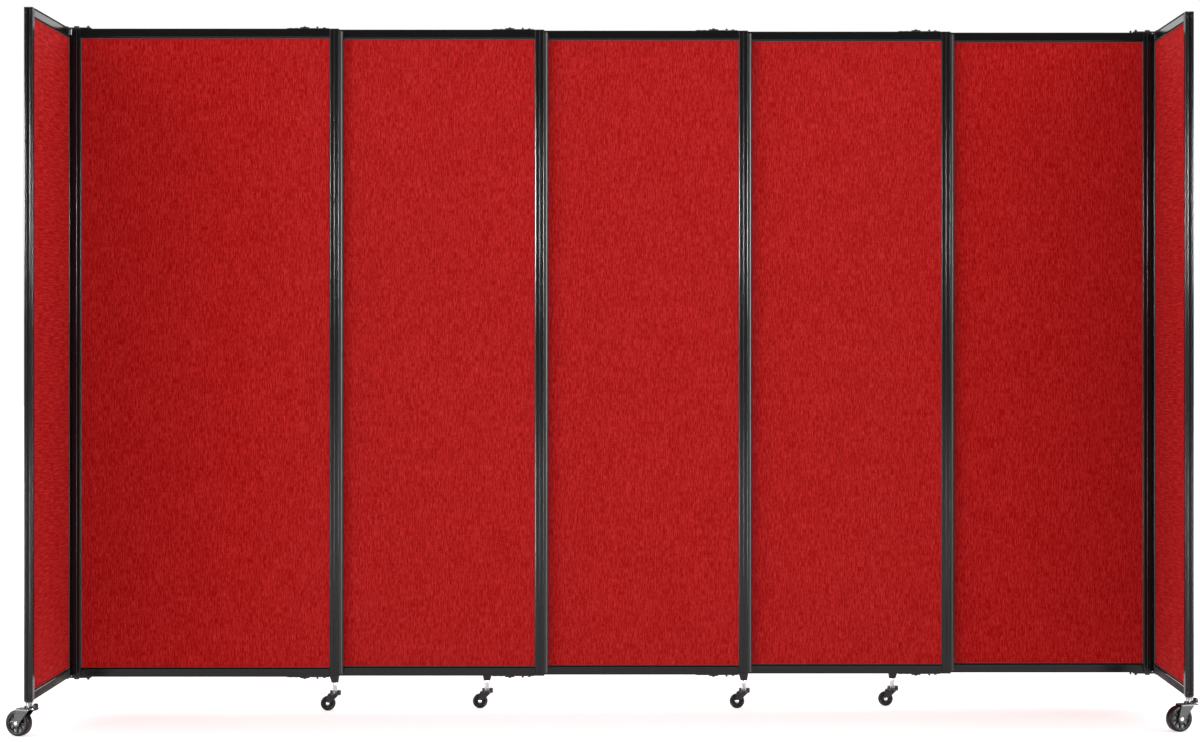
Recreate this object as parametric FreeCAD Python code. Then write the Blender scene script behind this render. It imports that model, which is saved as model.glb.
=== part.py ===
"""Telescoping room divider: five framed fabric panels that slide past each other, each one layer
behind the panel to its left, with a narrower hinged panel at each end and swivel casters below.

Millimetres. +X runs along the wall to the right, +Y away from the front, +Z up. The origin is on the
floor under the middle of the middle panel. The wall stands at full length, with both end panels swung
to the front, a little in from square.
"""

import FreeCAD, Part
import math
import os

V = FreeCAD.Vector

# Overall sizes
frame_height = 1979.0
floor_gap = 104.0
panel_width = 816.0
end_panel_width = 610.0
frame_thickness = 25.4
layer_gap = 3.6
end_panel_toe_in = 0.9
panel_numbers = (1, 2, 3, 4, 5)
caster_panels = (1, 3, 5)

# Frame bars
bar_face = 28.0
bar_wall = 2.0
edge_radius = 4.0
rail_edge_radius = 1.5
bead_width = 3.0
bead_depth = 1.5
groove_depth = 7.0
channel_width = 8.0
channel_depth = 5.0
channel_lip_radius = 0.8
track_width = 6.0
track_depth = 9.0
track_offset = 6.35
rail_chamber_width = 9.0

# Infill
board_thickness = 16.0
fabric_thickness = 0.8
infill_clearance = 0.3
infill_end_gap = 1.0

# End plugs and corner screws
plug_flange = 2.0
plug_clearance = 0.1
cap_depth = 9.0
socket_depth = 40.0
corner_screw_radius = 1.75
corner_screw_spread = 15.2
corner_screw_bite = 20.0
corner_head_radius = 3.2
corner_head_height = 2.2
screw_clearance = 0.1

# Edge seal
seal_reach = 12.0
seal_width = 18.0
seal_shoulder = 3.0
seal_wall = 2.2
seal_foot_depth = 2.4
seal_end_gap = 8.0
seal_clearance = 0.2

# Slide guides
guide_plate = 3.0
guide_lift = 0.4
lane_margin = 1.0
blade_thickness = 4.6
blade_depth = 7.0
right_guide_inset = 32.0
right_guide_length = 92.0
left_guide_inset = 30.0
left_guide_length = 36.0
stop_clearance = 0.3
hump_length = 28.0
hump_width = 10.0
hump_height = 3.0
hump_inset = 4.0
guide_screw_radius = 2.9
guide_screw_depth = 8.0
guide_head_radius = 4.4
guide_head_height = 2.5
left_guide_screw_inset = 9.0
right_guide_screw_inset = 14.0
stop_stud_height = 6.5
stop_stud_head_radius = 3.4
stop_stud_hinge_gap = 4.6

# Hinges
hinge_gap = 4.5
hinge_plate = 4.0
hinge_lift = 0.6
hinge_plate_reach = 58.0
hinge_plate_half_width = 11.0
pivot_radius = 4.0
pivot_clearance = 0.05
pivot_depth = 34.0
pivot_head_radius = 6.5
pivot_head_height = 4.0
anchor_head_radius = 8.0
anchor_head_height = 4.5
anchor_depth = 12.0
tongue_screw_inset = 8.0
tongue_head_radius = 4.0
tongue_head_height = 5.0

# Caster stems, shared by both sizes
stem_radius = 5.0
stem_clearance = 0.1
swivel_clearance = 0.08
stem_depth = 36.0
shoulder_gap = 0.3
axle_clearance = 0.06
wheel_side_gap = 1.0
leg_thickness = 3.0
socket_tip_round = 5.0
hub_rim_wall = 2.0


class Caster:
    """The sizes of one caster model, measured up from the floor."""

    def __init__(self, wheel_radius, wheel_width, rim_radius, trail, bridge_bottom, bridge_thickness,
                 crown_radius, crown_top, slot_width, slot_depth, socket_bottom, socket_tip_width,
                 shoulder_radius, rivet_radius, rivet_height, axle_radius, axle_head_radius,
                 axle_head_height, boss_radius, web_width, tyre_round):
        self.wheel_radius = wheel_radius
        self.wheel_width = wheel_width
        self.rim_radius = rim_radius
        self.trail = trail
        self.bridge_bottom = bridge_bottom
        self.bridge_thickness = bridge_thickness
        self.crown_radius = crown_radius
        self.crown_top = crown_top
        self.slot_width = slot_width
        self.slot_depth = slot_depth
        self.socket_bottom = socket_bottom
        self.socket_tip_width = socket_tip_width
        self.shoulder_radius = shoulder_radius
        self.rivet_radius = rivet_radius
        self.rivet_height = rivet_height
        self.axle_radius = axle_radius
        self.axle_head_radius = axle_head_radius
        self.axle_head_height = axle_head_height
        self.boss_radius = boss_radius
        self.web_width = web_width
        self.tyre_round = tyre_round


small_caster = Caster(
    wheel_radius=22.5, wheel_width=18.0, rim_radius=16.5, trail=21.0, bridge_bottom=47.5,
    bridge_thickness=4.0, crown_radius=18.5, crown_top=62.0, slot_width=13.0, slot_depth=9.0,
    socket_bottom=86.0, socket_tip_width=20.0, shoulder_radius=6.0,
    rivet_radius=7.0, rivet_height=2.5, axle_radius=3.0, axle_head_radius=5.0,
    axle_head_height=2.0, boss_radius=7.5, web_width=9.0, tyre_round=4.0)
large_caster = Caster(
    wheel_radius=38.0, wheel_width=28.0, rim_radius=28.5, trail=33.0, bridge_bottom=78.0,
    bridge_thickness=3.0, crown_radius=15.0, crown_top=88.0, slot_width=17.0, slot_depth=4.0,
    socket_bottom=99.0, socket_tip_width=21.0, shoulder_radius=9.0,
    rivet_radius=8.0, rivet_height=3.0, axle_radius=4.0, axle_head_radius=6.0,
    axle_head_height=2.5, boss_radius=11.0, web_width=14.0, tyre_round=7.0)

# Brake pedals of the large casters
pedal_length = 9.5
pedal_height = 20.0
pedal_width = 18.0
pedal_round = 4.5
pedal_pin_radius = 1.75
pedal_gap = 0.6
pedal_ear_thickness = 3.0
pedal_ear_radius = 5.0
pedal_pin_reach = 19.5
pedal_pin_height = 80.0
pedal_lead = 3.0
pedal_drop = 5.0

# How far each caster's fork is swung from trailing to the left, in degrees
left_end_caster_swing = -20.0
right_end_caster_swing = 20.0

# The turn that points an end panel to the front, in degrees
facing_front = -90.0

# Drawing tolerance
same_point = 1e-6

# Sizes that follow
middle_number = panel_numbers[len(panel_numbers) // 2]
half_thickness = frame_thickness / 2
frame_top = floor_gap + frame_height
frame_middle = floor_gap + frame_height / 2
layer_pitch = frame_thickness + layer_gap
overlap = right_guide_inset + right_guide_length + stop_clearance + left_guide_length + left_guide_inset
panel_step = panel_width - overlap
stop_stud_place = panel_width - hinge_plate_reach - stop_stud_hinge_gap - stop_stud_head_radius
slide_travel = stop_stud_place - stop_stud_head_radius - stop_clearance - overlap + right_guide_inset
infill_thickness = board_thickness + 2 * fabric_thickness
groove_half = infill_thickness / 2 + infill_clearance
groove_floor = bar_face - groove_depth
chamber_near = channel_depth + bar_wall
chamber_far = groove_floor - bar_wall
chamber_half = half_thickness - bar_wall
stem_inset = (chamber_near + chamber_far) / 2
corner_screw_inset = (track_depth + groove_floor) / 2
pivot_offset = hinge_gap + half_thickness


def panel_left(number):
    """X of a main panel's left edge."""
    return (number - middle_number) * panel_step - panel_width / 2


def panel_layer(number):
    """Y of a main panel's middle plane."""
    return (number - middle_number) * layer_pitch


def box(x0, x1, y0, y1, z0, z1):
    return Part.makeBox(x1 - x0, y1 - y0, z1 - z0, V(x0, y0, z0))


def rod(radius, start, length, direction=V(0, 0, 1)):
    return Part.makeCylinder(radius, length, start, direction)


def rounded_face(corners):
    """A face in the XY plane from (x, y, radius) corners, with an arc at each corner that has a radius."""
    count = len(corners)
    edges = []
    joints = []
    for i, (x, y, radius) in enumerate(corners):
        here = V(x, y, 0)
        back = (V(corners[i - 1][0], corners[i - 1][1], 0) - here).normalize()
        on = (V(corners[(i + 1) % count][0], corners[(i + 1) % count][1], 0) - here).normalize()
        if radius == 0:
            joints.append((here, here))
            continue
        half_angle = back.getAngle(on) / 2
        reach = radius / math.tan(half_angle)
        start = here + back * reach
        end = here + on * reach
        centre = here + (back + on).normalize() * (radius / math.sin(half_angle))
        middle = centre + (here - centre).normalize() * radius
        joints.append((start, end))
        edges.append(Part.Arc(start, middle, end).toShape())
    for i in range(count):
        start = joints[i][1]
        end = joints[(i + 1) % count][0]
        if start.distanceToPoint(end) > same_point:
            edges.append(Part.LineSegment(start, end).toShape())
    return Part.Face(Part.Wire(Part.__sortEdges__(edges)))


def rounded_rectangle(x0, x1, y0, y1, radius):
    return rounded_face([(x0, y0, radius), (x1, y0, radius), (x1, y1, radius), (x0, y1, radius)])


def upright(corners, low, high):
    """A prism along Z."""
    face = rounded_face(corners)
    face.translate(V(0, 0, low))
    return face.extrude(V(0, 0, high - low))


def turned(profile, centre=V(0, 0, 0), axis=V(0, 0, 1)):
    """A solid of revolution from (radius, height) points, along an axis through a centre."""
    points = [V(radius, 0, height) for radius, height in profile]
    solid = Part.Face(Part.makePolygon(points + points[:1])).revolve(V(0, 0, 0), V(0, 0, 1), 360)
    solid.Placement = FreeCAD.Placement(centre, FreeCAD.Rotation(V(0, 0, 1), axis))
    return solid


def flipped_over(solid):
    """The same piece at the other end of the frame, mirrored about its mid height."""
    return solid.mirror(V(0, 0, frame_middle), V(0, 0, 1))


def both_ends(solids):
    """Pieces made at the top of the frame, and the same at the bottom."""
    return solids + [flipped_over(solid) for solid in solids]


def swapped(solid, width):
    """The same piece at the other side of a panel, mirrored about its mid width."""
    return solid.mirror(V(width / 2, 0, 0), V(1, 0, 0))


# Frame bars, in a panel's own frame: X from its left edge, Y from its middle plane

def stile_bar():
    """The left stile: a hollow bar with a groove for the infill and an open channel on its outer edge."""
    half_channel = channel_width / 2
    bevel = half_thickness - bead_depth
    front = [
        (0, -half_thickness, edge_radius),
        (bar_face - bead_width, -half_thickness, 0),
        (bar_face, -bevel, 0),
        (bar_face, -groove_half, 0),
        (groove_floor, -groove_half, 0),
    ]
    back = [(x, -y, radius) for x, y, radius in reversed(front)]
    channel = [
        (0, half_channel, channel_lip_radius),
        (channel_depth, half_channel, 0),
        (channel_depth, -half_channel, 0),
        (0, -half_channel, channel_lip_radius),
    ]
    low = floor_gap + plug_flange
    high = frame_top - plug_flange
    bar = upright(front + back + channel, low, high)
    bar = bar.cut(box(chamber_near, chamber_far, -chamber_half, chamber_half, low, high))
    for screw in both_ends(corner_screws(screw_clearance)):
        bar = bar.cut(screw)
    return bar


def rail_bar(width):
    """The top rail: two tracks in its outer face, a chamber and a groove for the infill."""
    bevel = half_thickness - bead_depth
    front = [
        (-half_thickness, 0, rail_edge_radius),
        (-half_thickness, bar_face - bead_width, 0),
        (-bevel, bar_face, 0),
        (-groove_half, bar_face, 0),
        (-groove_half, groove_floor, 0),
    ]
    back = [(-y, depth, radius) for y, depth, radius in reversed(front)]
    near = track_offset - track_width / 2
    far = track_offset + track_width / 2
    back_track = [(far, 0, 0), (far, track_depth, 0), (near, track_depth, 0), (near, 0, 0)]
    front_track = [(-y, depth, radius) for y, depth, radius in reversed(back_track)]
    length = width - 2 * bar_face
    bar = upright(front + back + back_track + front_track, 0, length)
    bar = bar.cut(box(-rail_chamber_width / 2, rail_chamber_width / 2, track_depth + bar_wall, chamber_far,
                      0, length))
    lay_along_x = FreeCAD.Rotation(V(0, -1, 0), V(0, 0, -1), V(1, 0, 0), "ZXY")
    bar.Placement = FreeCAD.Placement(V(bar_face, 0, frame_top), lay_along_x)
    for screw in corner_screws(screw_clearance):
        bar = bar.cut(screw).cut(swapped(screw, width))
    return bar


def corner_screws(clearance=0.0):
    """The two screws that hold the top rail to the left stile, with their heads sunk in its outer edge, or
    the holes for them."""
    screws = []
    for side in (-1, 1):
        start = V(0, side * corner_screw_spread / 2, frame_top - corner_screw_inset)
        head = rod(corner_head_radius + clearance, start, corner_head_height, V(1, 0, 0))
        shank = rod(corner_screw_radius + clearance, start, bar_face + corner_screw_bite, V(1, 0, 0))
        screws.append(head.fuse(shank))
    return screws


def with_screw_holes(plug):
    """A deep end plug, drilled for the corner screws that pass through it."""
    for screw in corner_screws(screw_clearance):
        plug = plug.cut(screw)
    return plug


def plug_body(depth):
    """The block of an end plug, inside the top of the left stile."""
    return box(chamber_near + plug_clearance, chamber_far - plug_clearance,
               -chamber_half + plug_clearance, chamber_half - plug_clearance,
               frame_top - plug_flange - depth, frame_top - plug_flange)


def plug_flange_plate():
    """The plate of an end plug, which closes the end of the left stile."""
    outline = [
        (0, -half_thickness, edge_radius),
        (bar_face, -half_thickness, 0),
        (bar_face, half_thickness, 0),
        (0, half_thickness, edge_radius),
    ]
    return upright(outline, frame_top - plug_flange, frame_top)


def bored(plug, radius, depth):
    return plug.cut(rod(radius, V(stem_inset, 0, frame_top), depth, V(0, 0, -1)))


def plain_cap():
    return plug_flange_plate().fuse(plug_body(cap_depth)).removeSplitter()


def anchor_cap():
    """The cap under a hinge plate, with a hole for the plate's anchor bolt."""
    return bored(plain_cap(), pivot_radius + pivot_clearance, anchor_depth)


def pivot_cap():
    """The end plug that turns on a hinge's pivot bolt."""
    cap = with_screw_holes(plug_flange_plate().fuse(plug_body(socket_depth)).removeSplitter())
    return bored(cap, pivot_radius + pivot_clearance, pivot_depth + hinge_lift)


def caster_socket(caster):
    """The end plug that holds a caster's stem, with a nose below the frame that tapers to the stem."""
    nose = floor_gap - caster.socket_bottom
    body = with_screw_holes(plug_flange_plate().fuse(plug_body(socket_depth)).removeSplitter())
    root = rounded_rectangle(0, bar_face, -half_thickness, half_thickness, edge_radius)
    half = caster.socket_tip_width / 2
    tip = rounded_rectangle(stem_inset - half, stem_inset + half, -half, half, socket_tip_round)
    root.translate(V(0, 0, frame_top))
    tip.translate(V(0, 0, frame_top + nose))
    body = body.fuse(Part.makeLoft([root.OuterWire, tip.OuterWire], True, True))
    bore = rod(stem_radius + stem_clearance, V(stem_inset, 0, frame_top + nose), nose + stem_depth,
               V(0, 0, -1))
    return body.cut(bore)


def frame_stiles(width, left_top, left_bottom, right_top, right_bottom):
    """Both stiles and the plugs in their four ends."""
    left = stile_bar()
    plugs = [
        left_top,
        flipped_over(left_bottom),
        swapped(right_top, width),
        swapped(flipped_over(right_bottom), width),
    ]
    return [left, swapped(left, width)] + plugs


def frame_rails(width):
    """Both rails and the screws that hold their ends."""
    screws = corner_screws()
    return both_ends([rail_bar(width)] + screws + [swapped(screw, width) for screw in screws])


def infill_sheet(width, near, far):
    """A sheet that reaches into the grooves on all four sides, between two depths."""
    inset = groove_floor + infill_end_gap
    return box(inset, width - inset, near, far, floor_gap + inset, frame_top - inset)


def core_board(width):
    return [infill_sheet(width, -board_thickness / 2, board_thickness / 2)]


def fabric_skins(width):
    """The front and back fabric, stretched over the board."""
    front = infill_sheet(width, -infill_thickness / 2, -board_thickness / 2)
    back = infill_sheet(width, board_thickness / 2, infill_thickness / 2)
    return [front, back]


def edge_seal():
    """The hollow rubber strip on a panel's right edge, with its foot in the stile's channel."""
    half = seal_width / 2
    near = V(seal_shoulder, -half, 0)
    far = V(seal_shoulder, half, 0)
    outer = Part.Face(Part.Wire([
        Part.LineSegment(V(0, -half, 0), near).toShape(),
        Part.Arc(near, V(seal_reach, 0, 0), far).toShape(),
        Part.LineSegment(far, V(0, half, 0)).toShape(),
        Part.LineSegment(V(0, half, 0), V(0, -half, 0)).toShape(),
    ]))
    near = V(seal_shoulder, seal_wall - half, 0)
    far = V(seal_shoulder, half - seal_wall, 0)
    inner = Part.Face(Part.Wire([
        Part.Arc(near, V(seal_reach - seal_wall, 0, 0), far).toShape(),
        Part.LineSegment(far, near).toShape(),
    ]))
    low = floor_gap + seal_end_gap
    length = frame_height - 2 * seal_end_gap
    bulb = outer.cut(inner).extrude(V(0, 0, length))
    foot_half = channel_width / 2 - seal_clearance
    foot = box(-seal_foot_depth, 0, -foot_half, foot_half, 0, length)
    seal = bulb.fuse(foot).removeSplitter()
    seal.translate(V(panel_width, 0, low))
    return seal


# Slide guides, made at the top of a panel

def guide_screw(x, y, seat):
    """A screw into a track, whose walls it bites, with a flat round head."""
    tip = frame_top - guide_screw_depth
    shank = rod(guide_screw_radius, V(x, y, tip), seat - tip)
    return shank.fuse(rod(guide_head_radius, V(x, y, seat), guide_head_height))


def guide_plate_solid(x0, x1, side):
    """A plate on one half of its own rail that reaches over the next panel's rail, with a blade in that
    rail's nearer track. Side is 1 towards the back and -1 towards the front."""
    def across(near, far):
        return sorted((side * near, side * far))

    y0, y1 = across(lane_margin, layer_pitch - lane_margin)
    plate = box(x0, x1, y0, y1, frame_top, frame_top + guide_plate)
    y0, y1 = across(half_thickness + layer_gap / 2, layer_pitch - lane_margin)
    plate = plate.cut(box(x0, x1, y0, y1, frame_top, frame_top + guide_lift))
    blade_middle = layer_pitch - track_offset
    y0, y1 = across(blade_middle - blade_thickness / 2, blade_middle + blade_thickness / 2)
    blade = box(x0, x1, y0, y1, frame_top - blade_depth, frame_top + guide_plate)
    return plate.fuse(blade).removeSplitter()


def right_guide():
    """The guide at a panel's right end, which runs in the track of the panel behind it."""
    x1 = panel_width - right_guide_inset
    x0 = x1 - right_guide_length
    hump_start = x0 + hump_inset
    seat = frame_top + guide_plate + hump_height
    hump = box(hump_start, hump_start + hump_length, lane_margin, lane_margin + hump_width,
               frame_top + guide_plate, seat)
    bracket = guide_plate_solid(x0, x1, 1).fuse(hump)
    screws = [
        guide_screw(hump_start + hump_length / 2, track_offset, seat),
        guide_screw(x1 - right_guide_screw_inset, track_offset, frame_top + guide_plate),
    ]
    for screw in screws:
        bracket = bracket.cut(screw)
    return [bracket] + screws


def left_guide():
    """The guide at a panel's left end, which runs in the track of the panel in front of it."""
    x0 = left_guide_inset
    x1 = x0 + left_guide_length
    bracket = guide_plate_solid(x0, x1, -1)
    screws = [
        guide_screw(x0 + left_guide_screw_inset, -track_offset, frame_top + guide_plate),
        guide_screw(x1 - left_guide_screw_inset, -track_offset, frame_top + guide_plate),
    ]
    for screw in screws:
        bracket = bracket.cut(screw)
    return [bracket] + screws


def stop_stud():
    """The stud in a panel's front track that stops the front panel's guide when the two are closed up.

    It stands as near the panel's right end as a hinge plate there lets it, and so sets the slide travel.
    """
    foot = V(stop_stud_place, -track_offset, frame_top - guide_screw_depth)
    shank = rod(guide_screw_radius, foot, guide_screw_depth)
    head = rod(stop_stud_head_radius, V(stop_stud_place, -track_offset, frame_top), stop_stud_height)
    return shank.fuse(head)


def slide_guides(number):
    """All guides, screws and stop studs of one main panel."""
    solids = [stop_stud()]
    if number < panel_numbers[-1]:
        solids += right_guide()
    if number > panel_numbers[0]:
        solids += left_guide()
    return both_ends(solids)


# Hinges, made at the top left corner of a main panel

def hinge_bolts():
    """The pivot bolt, the anchor bolt into the stile and the screw into the rail's front track."""
    seat = frame_top + hinge_plate
    pivot = rod(pivot_radius, V(-pivot_offset, 0, frame_top - pivot_depth), pivot_depth + hinge_plate)
    pivot = pivot.fuse(rod(pivot_head_radius, V(-pivot_offset, 0, seat), pivot_head_height))
    anchor = rod(pivot_radius, V(stem_inset, 0, frame_top - anchor_depth), anchor_depth + hinge_plate)
    anchor = anchor.fuse(rod(anchor_head_radius, V(stem_inset, 0, seat), anchor_head_height))
    x = hinge_plate_reach - tongue_screw_inset
    screw = rod(guide_screw_radius, V(x, -track_offset, frame_top - guide_screw_depth),
                guide_screw_depth + hinge_plate)
    screw = screw.fuse(rod(tongue_head_radius, V(x, -track_offset, seat), tongue_head_height))
    return [pivot, anchor, screw]


def hinge_plate_solid():
    """The plate on the corner of a main panel that carries the pivot beside it."""
    plate = box(-pivot_offset, hinge_plate_reach, -hinge_plate_half_width, hinge_plate_half_width,
                frame_top, frame_top + hinge_plate)
    plate = plate.fuse(rod(hinge_plate_half_width, V(-pivot_offset, 0, frame_top), hinge_plate))
    relief_start = -pivot_offset - hinge_plate_half_width
    relief = box(relief_start, -hinge_gap / 2, -hinge_plate_half_width, hinge_plate_half_width,
                 frame_top, frame_top + hinge_lift)
    plate = plate.cut(relief)
    for bolt in hinge_bolts():
        plate = plate.cut(bolt)
    return plate


# Casters, in their own frame: the swivel axis is Z and the wheel trails towards -X

def caster_stem(caster):
    """The fixed stem: a thread in the socket, a shoulder above the fork and a riveted pin through it."""
    shoulder_bottom = caster.crown_top + shoulder_gap
    rivet_top = caster.bridge_bottom - shoulder_gap
    return turned([
        (0, rivet_top - caster.rivet_height),
        (caster.rivet_radius, rivet_top - caster.rivet_height),
        (caster.rivet_radius, rivet_top),
        (stem_radius, rivet_top),
        (stem_radius, shoulder_bottom),
        (caster.shoulder_radius, shoulder_bottom),
        (caster.shoulder_radius, caster.socket_bottom),
        (stem_radius, caster.socket_bottom),
        (stem_radius, floor_gap + stem_depth),
        (0, floor_gap + stem_depth),
    ])


def fork_leg(caster, side):
    """One side of the fork, from its bridge down to the axle."""
    inner = caster.wheel_width / 2 + wheel_side_gap
    axle_height = caster.wheel_radius
    top = caster.bridge_bottom + caster.bridge_thickness
    outline = [
        V(-caster.trail - caster.boss_radius, 0, axle_height),
        V(-caster.trail + caster.boss_radius, 0, axle_height),
        V(caster.crown_radius - leg_thickness, 0, top - caster.bridge_thickness),
        V(caster.crown_radius - leg_thickness, 0, top),
        V(-caster.trail, 0, top),
    ]
    leg = Part.Face(Part.makePolygon(outline + outline[:1])).extrude(V(0, leg_thickness, 0))
    boss = rod(caster.boss_radius, V(-caster.trail, 0, axle_height), leg_thickness, V(0, 1, 0))
    leg = leg.fuse(boss).removeSplitter()
    leg.translate(V(0, inner if side > 0 else -inner - leg_thickness, 0))
    return leg


def pedal_pin_place():
    """The middle of a brake pedal's pin."""
    return V(pedal_pin_reach, 0, pedal_pin_height)


def pedal_ears(caster):
    """The two lugs of a large caster's fork that hold the brake pedal's pin."""
    top = caster.bridge_bottom + caster.bridge_thickness
    pin = pedal_pin_place()
    ears = []
    for side in (-1, 1):
        inner = pedal_width / 2 + pedal_gap
        y = inner if side > 0 else -inner - pedal_ear_thickness
        arm = box(0, pin.x, y, y + pedal_ear_thickness, caster.bridge_bottom, top)
        arm = arm.fuse(rod(pedal_ear_radius, V(pin.x, y, pin.z), pedal_ear_thickness, V(0, 1, 0)))
        arm = arm.cut(rod(pedal_pin_radius, V(pin.x, y, pin.z), pedal_ear_thickness, V(0, 1, 0)))
        ears.append(arm)
    return ears


def caster_fork(caster, braked):
    """The swivelling fork, and the axle that is fixed in it."""
    outer = caster.wheel_width / 2 + wheel_side_gap + leg_thickness
    top = caster.bridge_bottom + caster.bridge_thickness
    fork = box(-caster.trail, caster.crown_radius - leg_thickness, -outer, outer, caster.bridge_bottom, top)
    crown_height = caster.crown_top - caster.bridge_bottom
    fork = fork.fuse(rod(caster.crown_radius, V(0, 0, caster.bridge_bottom), crown_height))
    fork = fork.cut(box(-caster.slot_width / 2, caster.slot_width / 2, -caster.crown_radius,
                        caster.crown_radius, caster.crown_top - caster.slot_depth, caster.crown_top))
    for side in (-1, 1):
        fork = fork.fuse(fork_leg(caster, side))
    solids = []
    if braked:
        for ear in pedal_ears(caster):
            fork = fork.fuse(ear)
        pin = pedal_pin_place()
        reach = pedal_width / 2 + pedal_gap + pedal_ear_thickness
        solids.append(rod(pedal_pin_radius, V(pin.x, -reach, pin.z), 2 * reach, V(0, 1, 0)))
    fork = fork.cut(rod(stem_radius + swivel_clearance, V(0, 0, caster.bridge_bottom), crown_height))
    middle = V(-caster.trail, 0, caster.wheel_radius)
    axle = rod(caster.axle_radius, middle - V(0, outer, 0), 2 * outer, V(0, 1, 0))
    for side in (-1, 1):
        end = middle + V(0, side * outer, 0)
        axle = axle.fuse(rod(caster.axle_head_radius, end, caster.axle_head_height, V(0, side, 0)))
    fork = fork.cut(axle).removeSplitter()
    return [fork, axle] + solids


def caster_wheel(caster):
    """The tyre, and the hub that it is moulded on."""
    half = caster.wheel_width / 2
    rounding = caster.tyre_round
    tyre = Part.makeCylinder(caster.wheel_radius, caster.wheel_width, V(0, 0, -half))
    tyre = tyre.makeFillet(rounding, [e for e in tyre.Edges if len(e.Vertexes) == 1])
    tyre = tyre.cut(Part.makeCylinder(caster.rim_radius, caster.wheel_width, V(0, 0, -half)))
    bore = caster.axle_radius + axle_clearance
    boss = caster.boss_radius
    web = caster.web_width / 2
    rim = caster.rim_radius
    rim_inside = rim - hub_rim_wall
    hub = turned([
        (bore, -half), (boss, -half), (boss, -web), (rim_inside, -web),
        (rim_inside, rounding - half), (rim, rounding - half),
        (rim, half - rounding), (rim_inside, half - rounding),
        (rim_inside, web), (boss, web), (boss, half), (bore, half),
    ])
    solids = [tyre, hub]
    across = FreeCAD.Rotation(V(0, 0, 1), V(0, 1, 0))
    for solid in solids:
        solid.Placement = FreeCAD.Placement(V(-caster.trail, 0, caster.wheel_radius), across)
    return solids


def brake_pedal():
    """The toe pedal of a large caster, at the side away from the wheel."""
    pin = pedal_pin_place()
    low = pin.z - pedal_drop
    outline = [
        (pin.x - pedal_lead, low, pedal_round),
        (pin.x - pedal_lead + pedal_length, low, pedal_round),
        (pin.x - pedal_lead + pedal_length, low + pedal_height, pedal_round),
        (pin.x - pedal_lead, low + pedal_height, pedal_round),
    ]
    pedal = upright(outline, -pedal_width / 2, pedal_width / 2)
    pedal.Placement = FreeCAD.Placement(V(0, 0, 0), FreeCAD.Rotation(V(1, 0, 0), 90))
    hole = rod(pedal_pin_radius + pivot_clearance, pin - V(0, pedal_width / 2, 0), pedal_width, V(0, 1, 0))
    return [pedal.cut(hole)]


# Placing and writing

def moved(solids, placement):
    """Copies of the solids, carried from a local frame to their place in the wall."""
    placed = []
    for solid in solids:
        copy = solid.copy()
        copy.Placement = placement.multiply(copy.Placement)
        placed.append(copy)
    return placed


def write(node, solids):
    for solid in solids:
        assert solid.isValid() and len(solid.Solids) == 1, node
    shape = solids[0] if len(solids) == 1 else Part.makeCompound(solids)
    shape.exportStep("parts/" + node + ".step")


def write_panel(name, width, stiles, placement):
    """The frame and the infill that every panel has."""
    write(name + "_stiles", moved(stiles, placement))
    write(name + "_rails", moved(frame_rails(width), placement))
    write(name + "_board", moved(core_board(width), placement))
    write(name + "_fabric", moved(fabric_skins(width), placement))


def write_caster(name, caster, placement, braked):
    write(name + "_fork", moved(caster_fork(caster, braked), placement))
    write(name + "_wheel", moved(caster_wheel(caster), placement))
    if braked:
        write(name + "_pedal", moved(brake_pedal(), placement))


def standing(x, y, turn=0.0):
    """A place on the floor plan, turned about the vertical by a number of degrees."""
    return FreeCAD.Placement(V(x, y, 0), FreeCAD.Rotation(V(0, 0, 1), turn))


def main_panels():
    """The five sliding panels with their guides, seals and small casters."""
    first, last = panel_numbers[0], panel_numbers[-1]
    for number in panel_numbers:
        name = "panel_%d" % number
        place = standing(panel_left(number), panel_layer(number))
        carried = number in caster_panels
        left_wheel = carried and number > first
        right_wheel = carried and number < last
        left_end = anchor_cap() if number == first else plain_cap()
        right_end = anchor_cap() if number == last else plain_cap()
        left_foot = caster_socket(small_caster) if left_wheel else left_end
        right_foot = caster_socket(small_caster) if right_wheel else right_end
        stiles = frame_stiles(panel_width, left_end, left_foot, right_end, right_foot)
        write_panel(name, panel_width, stiles, place)
        write(name + "_guides", moved(slide_guides(number), place))
        if number < last:
            write(name + "_edge_seal", moved([edge_seal()], place))
        sides = []
        if left_wheel:
            sides.append(("left", stem_inset))
        if right_wheel:
            sides.append(("right", panel_width - stem_inset))
        stems = []
        for side, x in sides:
            spot = standing(panel_left(number) + x, panel_layer(number))
            stems += moved([caster_stem(small_caster)], spot)
            write_caster("%s_%s_caster" % (name, side), small_caster, spot, False)
        if stems:
            write(name + "_caster_stems", stems)


def end_panels():
    """The two hinged panels, with their hinges, large casters and brake pedals."""
    first, last = panel_numbers[0], panel_numbers[-1]
    plate = hinge_plate_solid()
    bolts = hinge_bolts()
    right_hinge = [swapped(solid, panel_width) for solid in [plate] + bolts]
    ends = (
        ("left", first, -pivot_offset, [plate] + bolts, end_panel_toe_in, left_end_caster_swing),
        ("right", last, panel_width + pivot_offset, right_hinge, -end_panel_toe_in, right_end_caster_swing),
    )
    for side, number, pivot, hinge, toe, swing in ends:
        main = standing(panel_left(number), panel_layer(number))
        write(side + "_hinge_plates", moved(both_ends(hinge[:1]), main))
        write(side + "_hinge_bolts", moved(both_ends(hinge[1:]), main))
        turn = standing(panel_left(number) + pivot, panel_layer(number), facing_front + toe)
        place = turn.multiply(standing(-stem_inset, 0))
        foot = caster_socket(large_caster)
        stiles = frame_stiles(end_panel_width, pivot_cap(), pivot_cap(), plain_cap(), foot)
        write_panel(side + "_end", end_panel_width, stiles, place)
        stem = turn.multVec(V(end_panel_width - 2 * stem_inset, 0, 0))
        spot = standing(stem.x, stem.y, swing)
        write(side + "_end_caster_stem", moved([caster_stem(large_caster)], spot))
        write_caster(side + "_end_caster", large_caster, spot, True)


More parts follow.
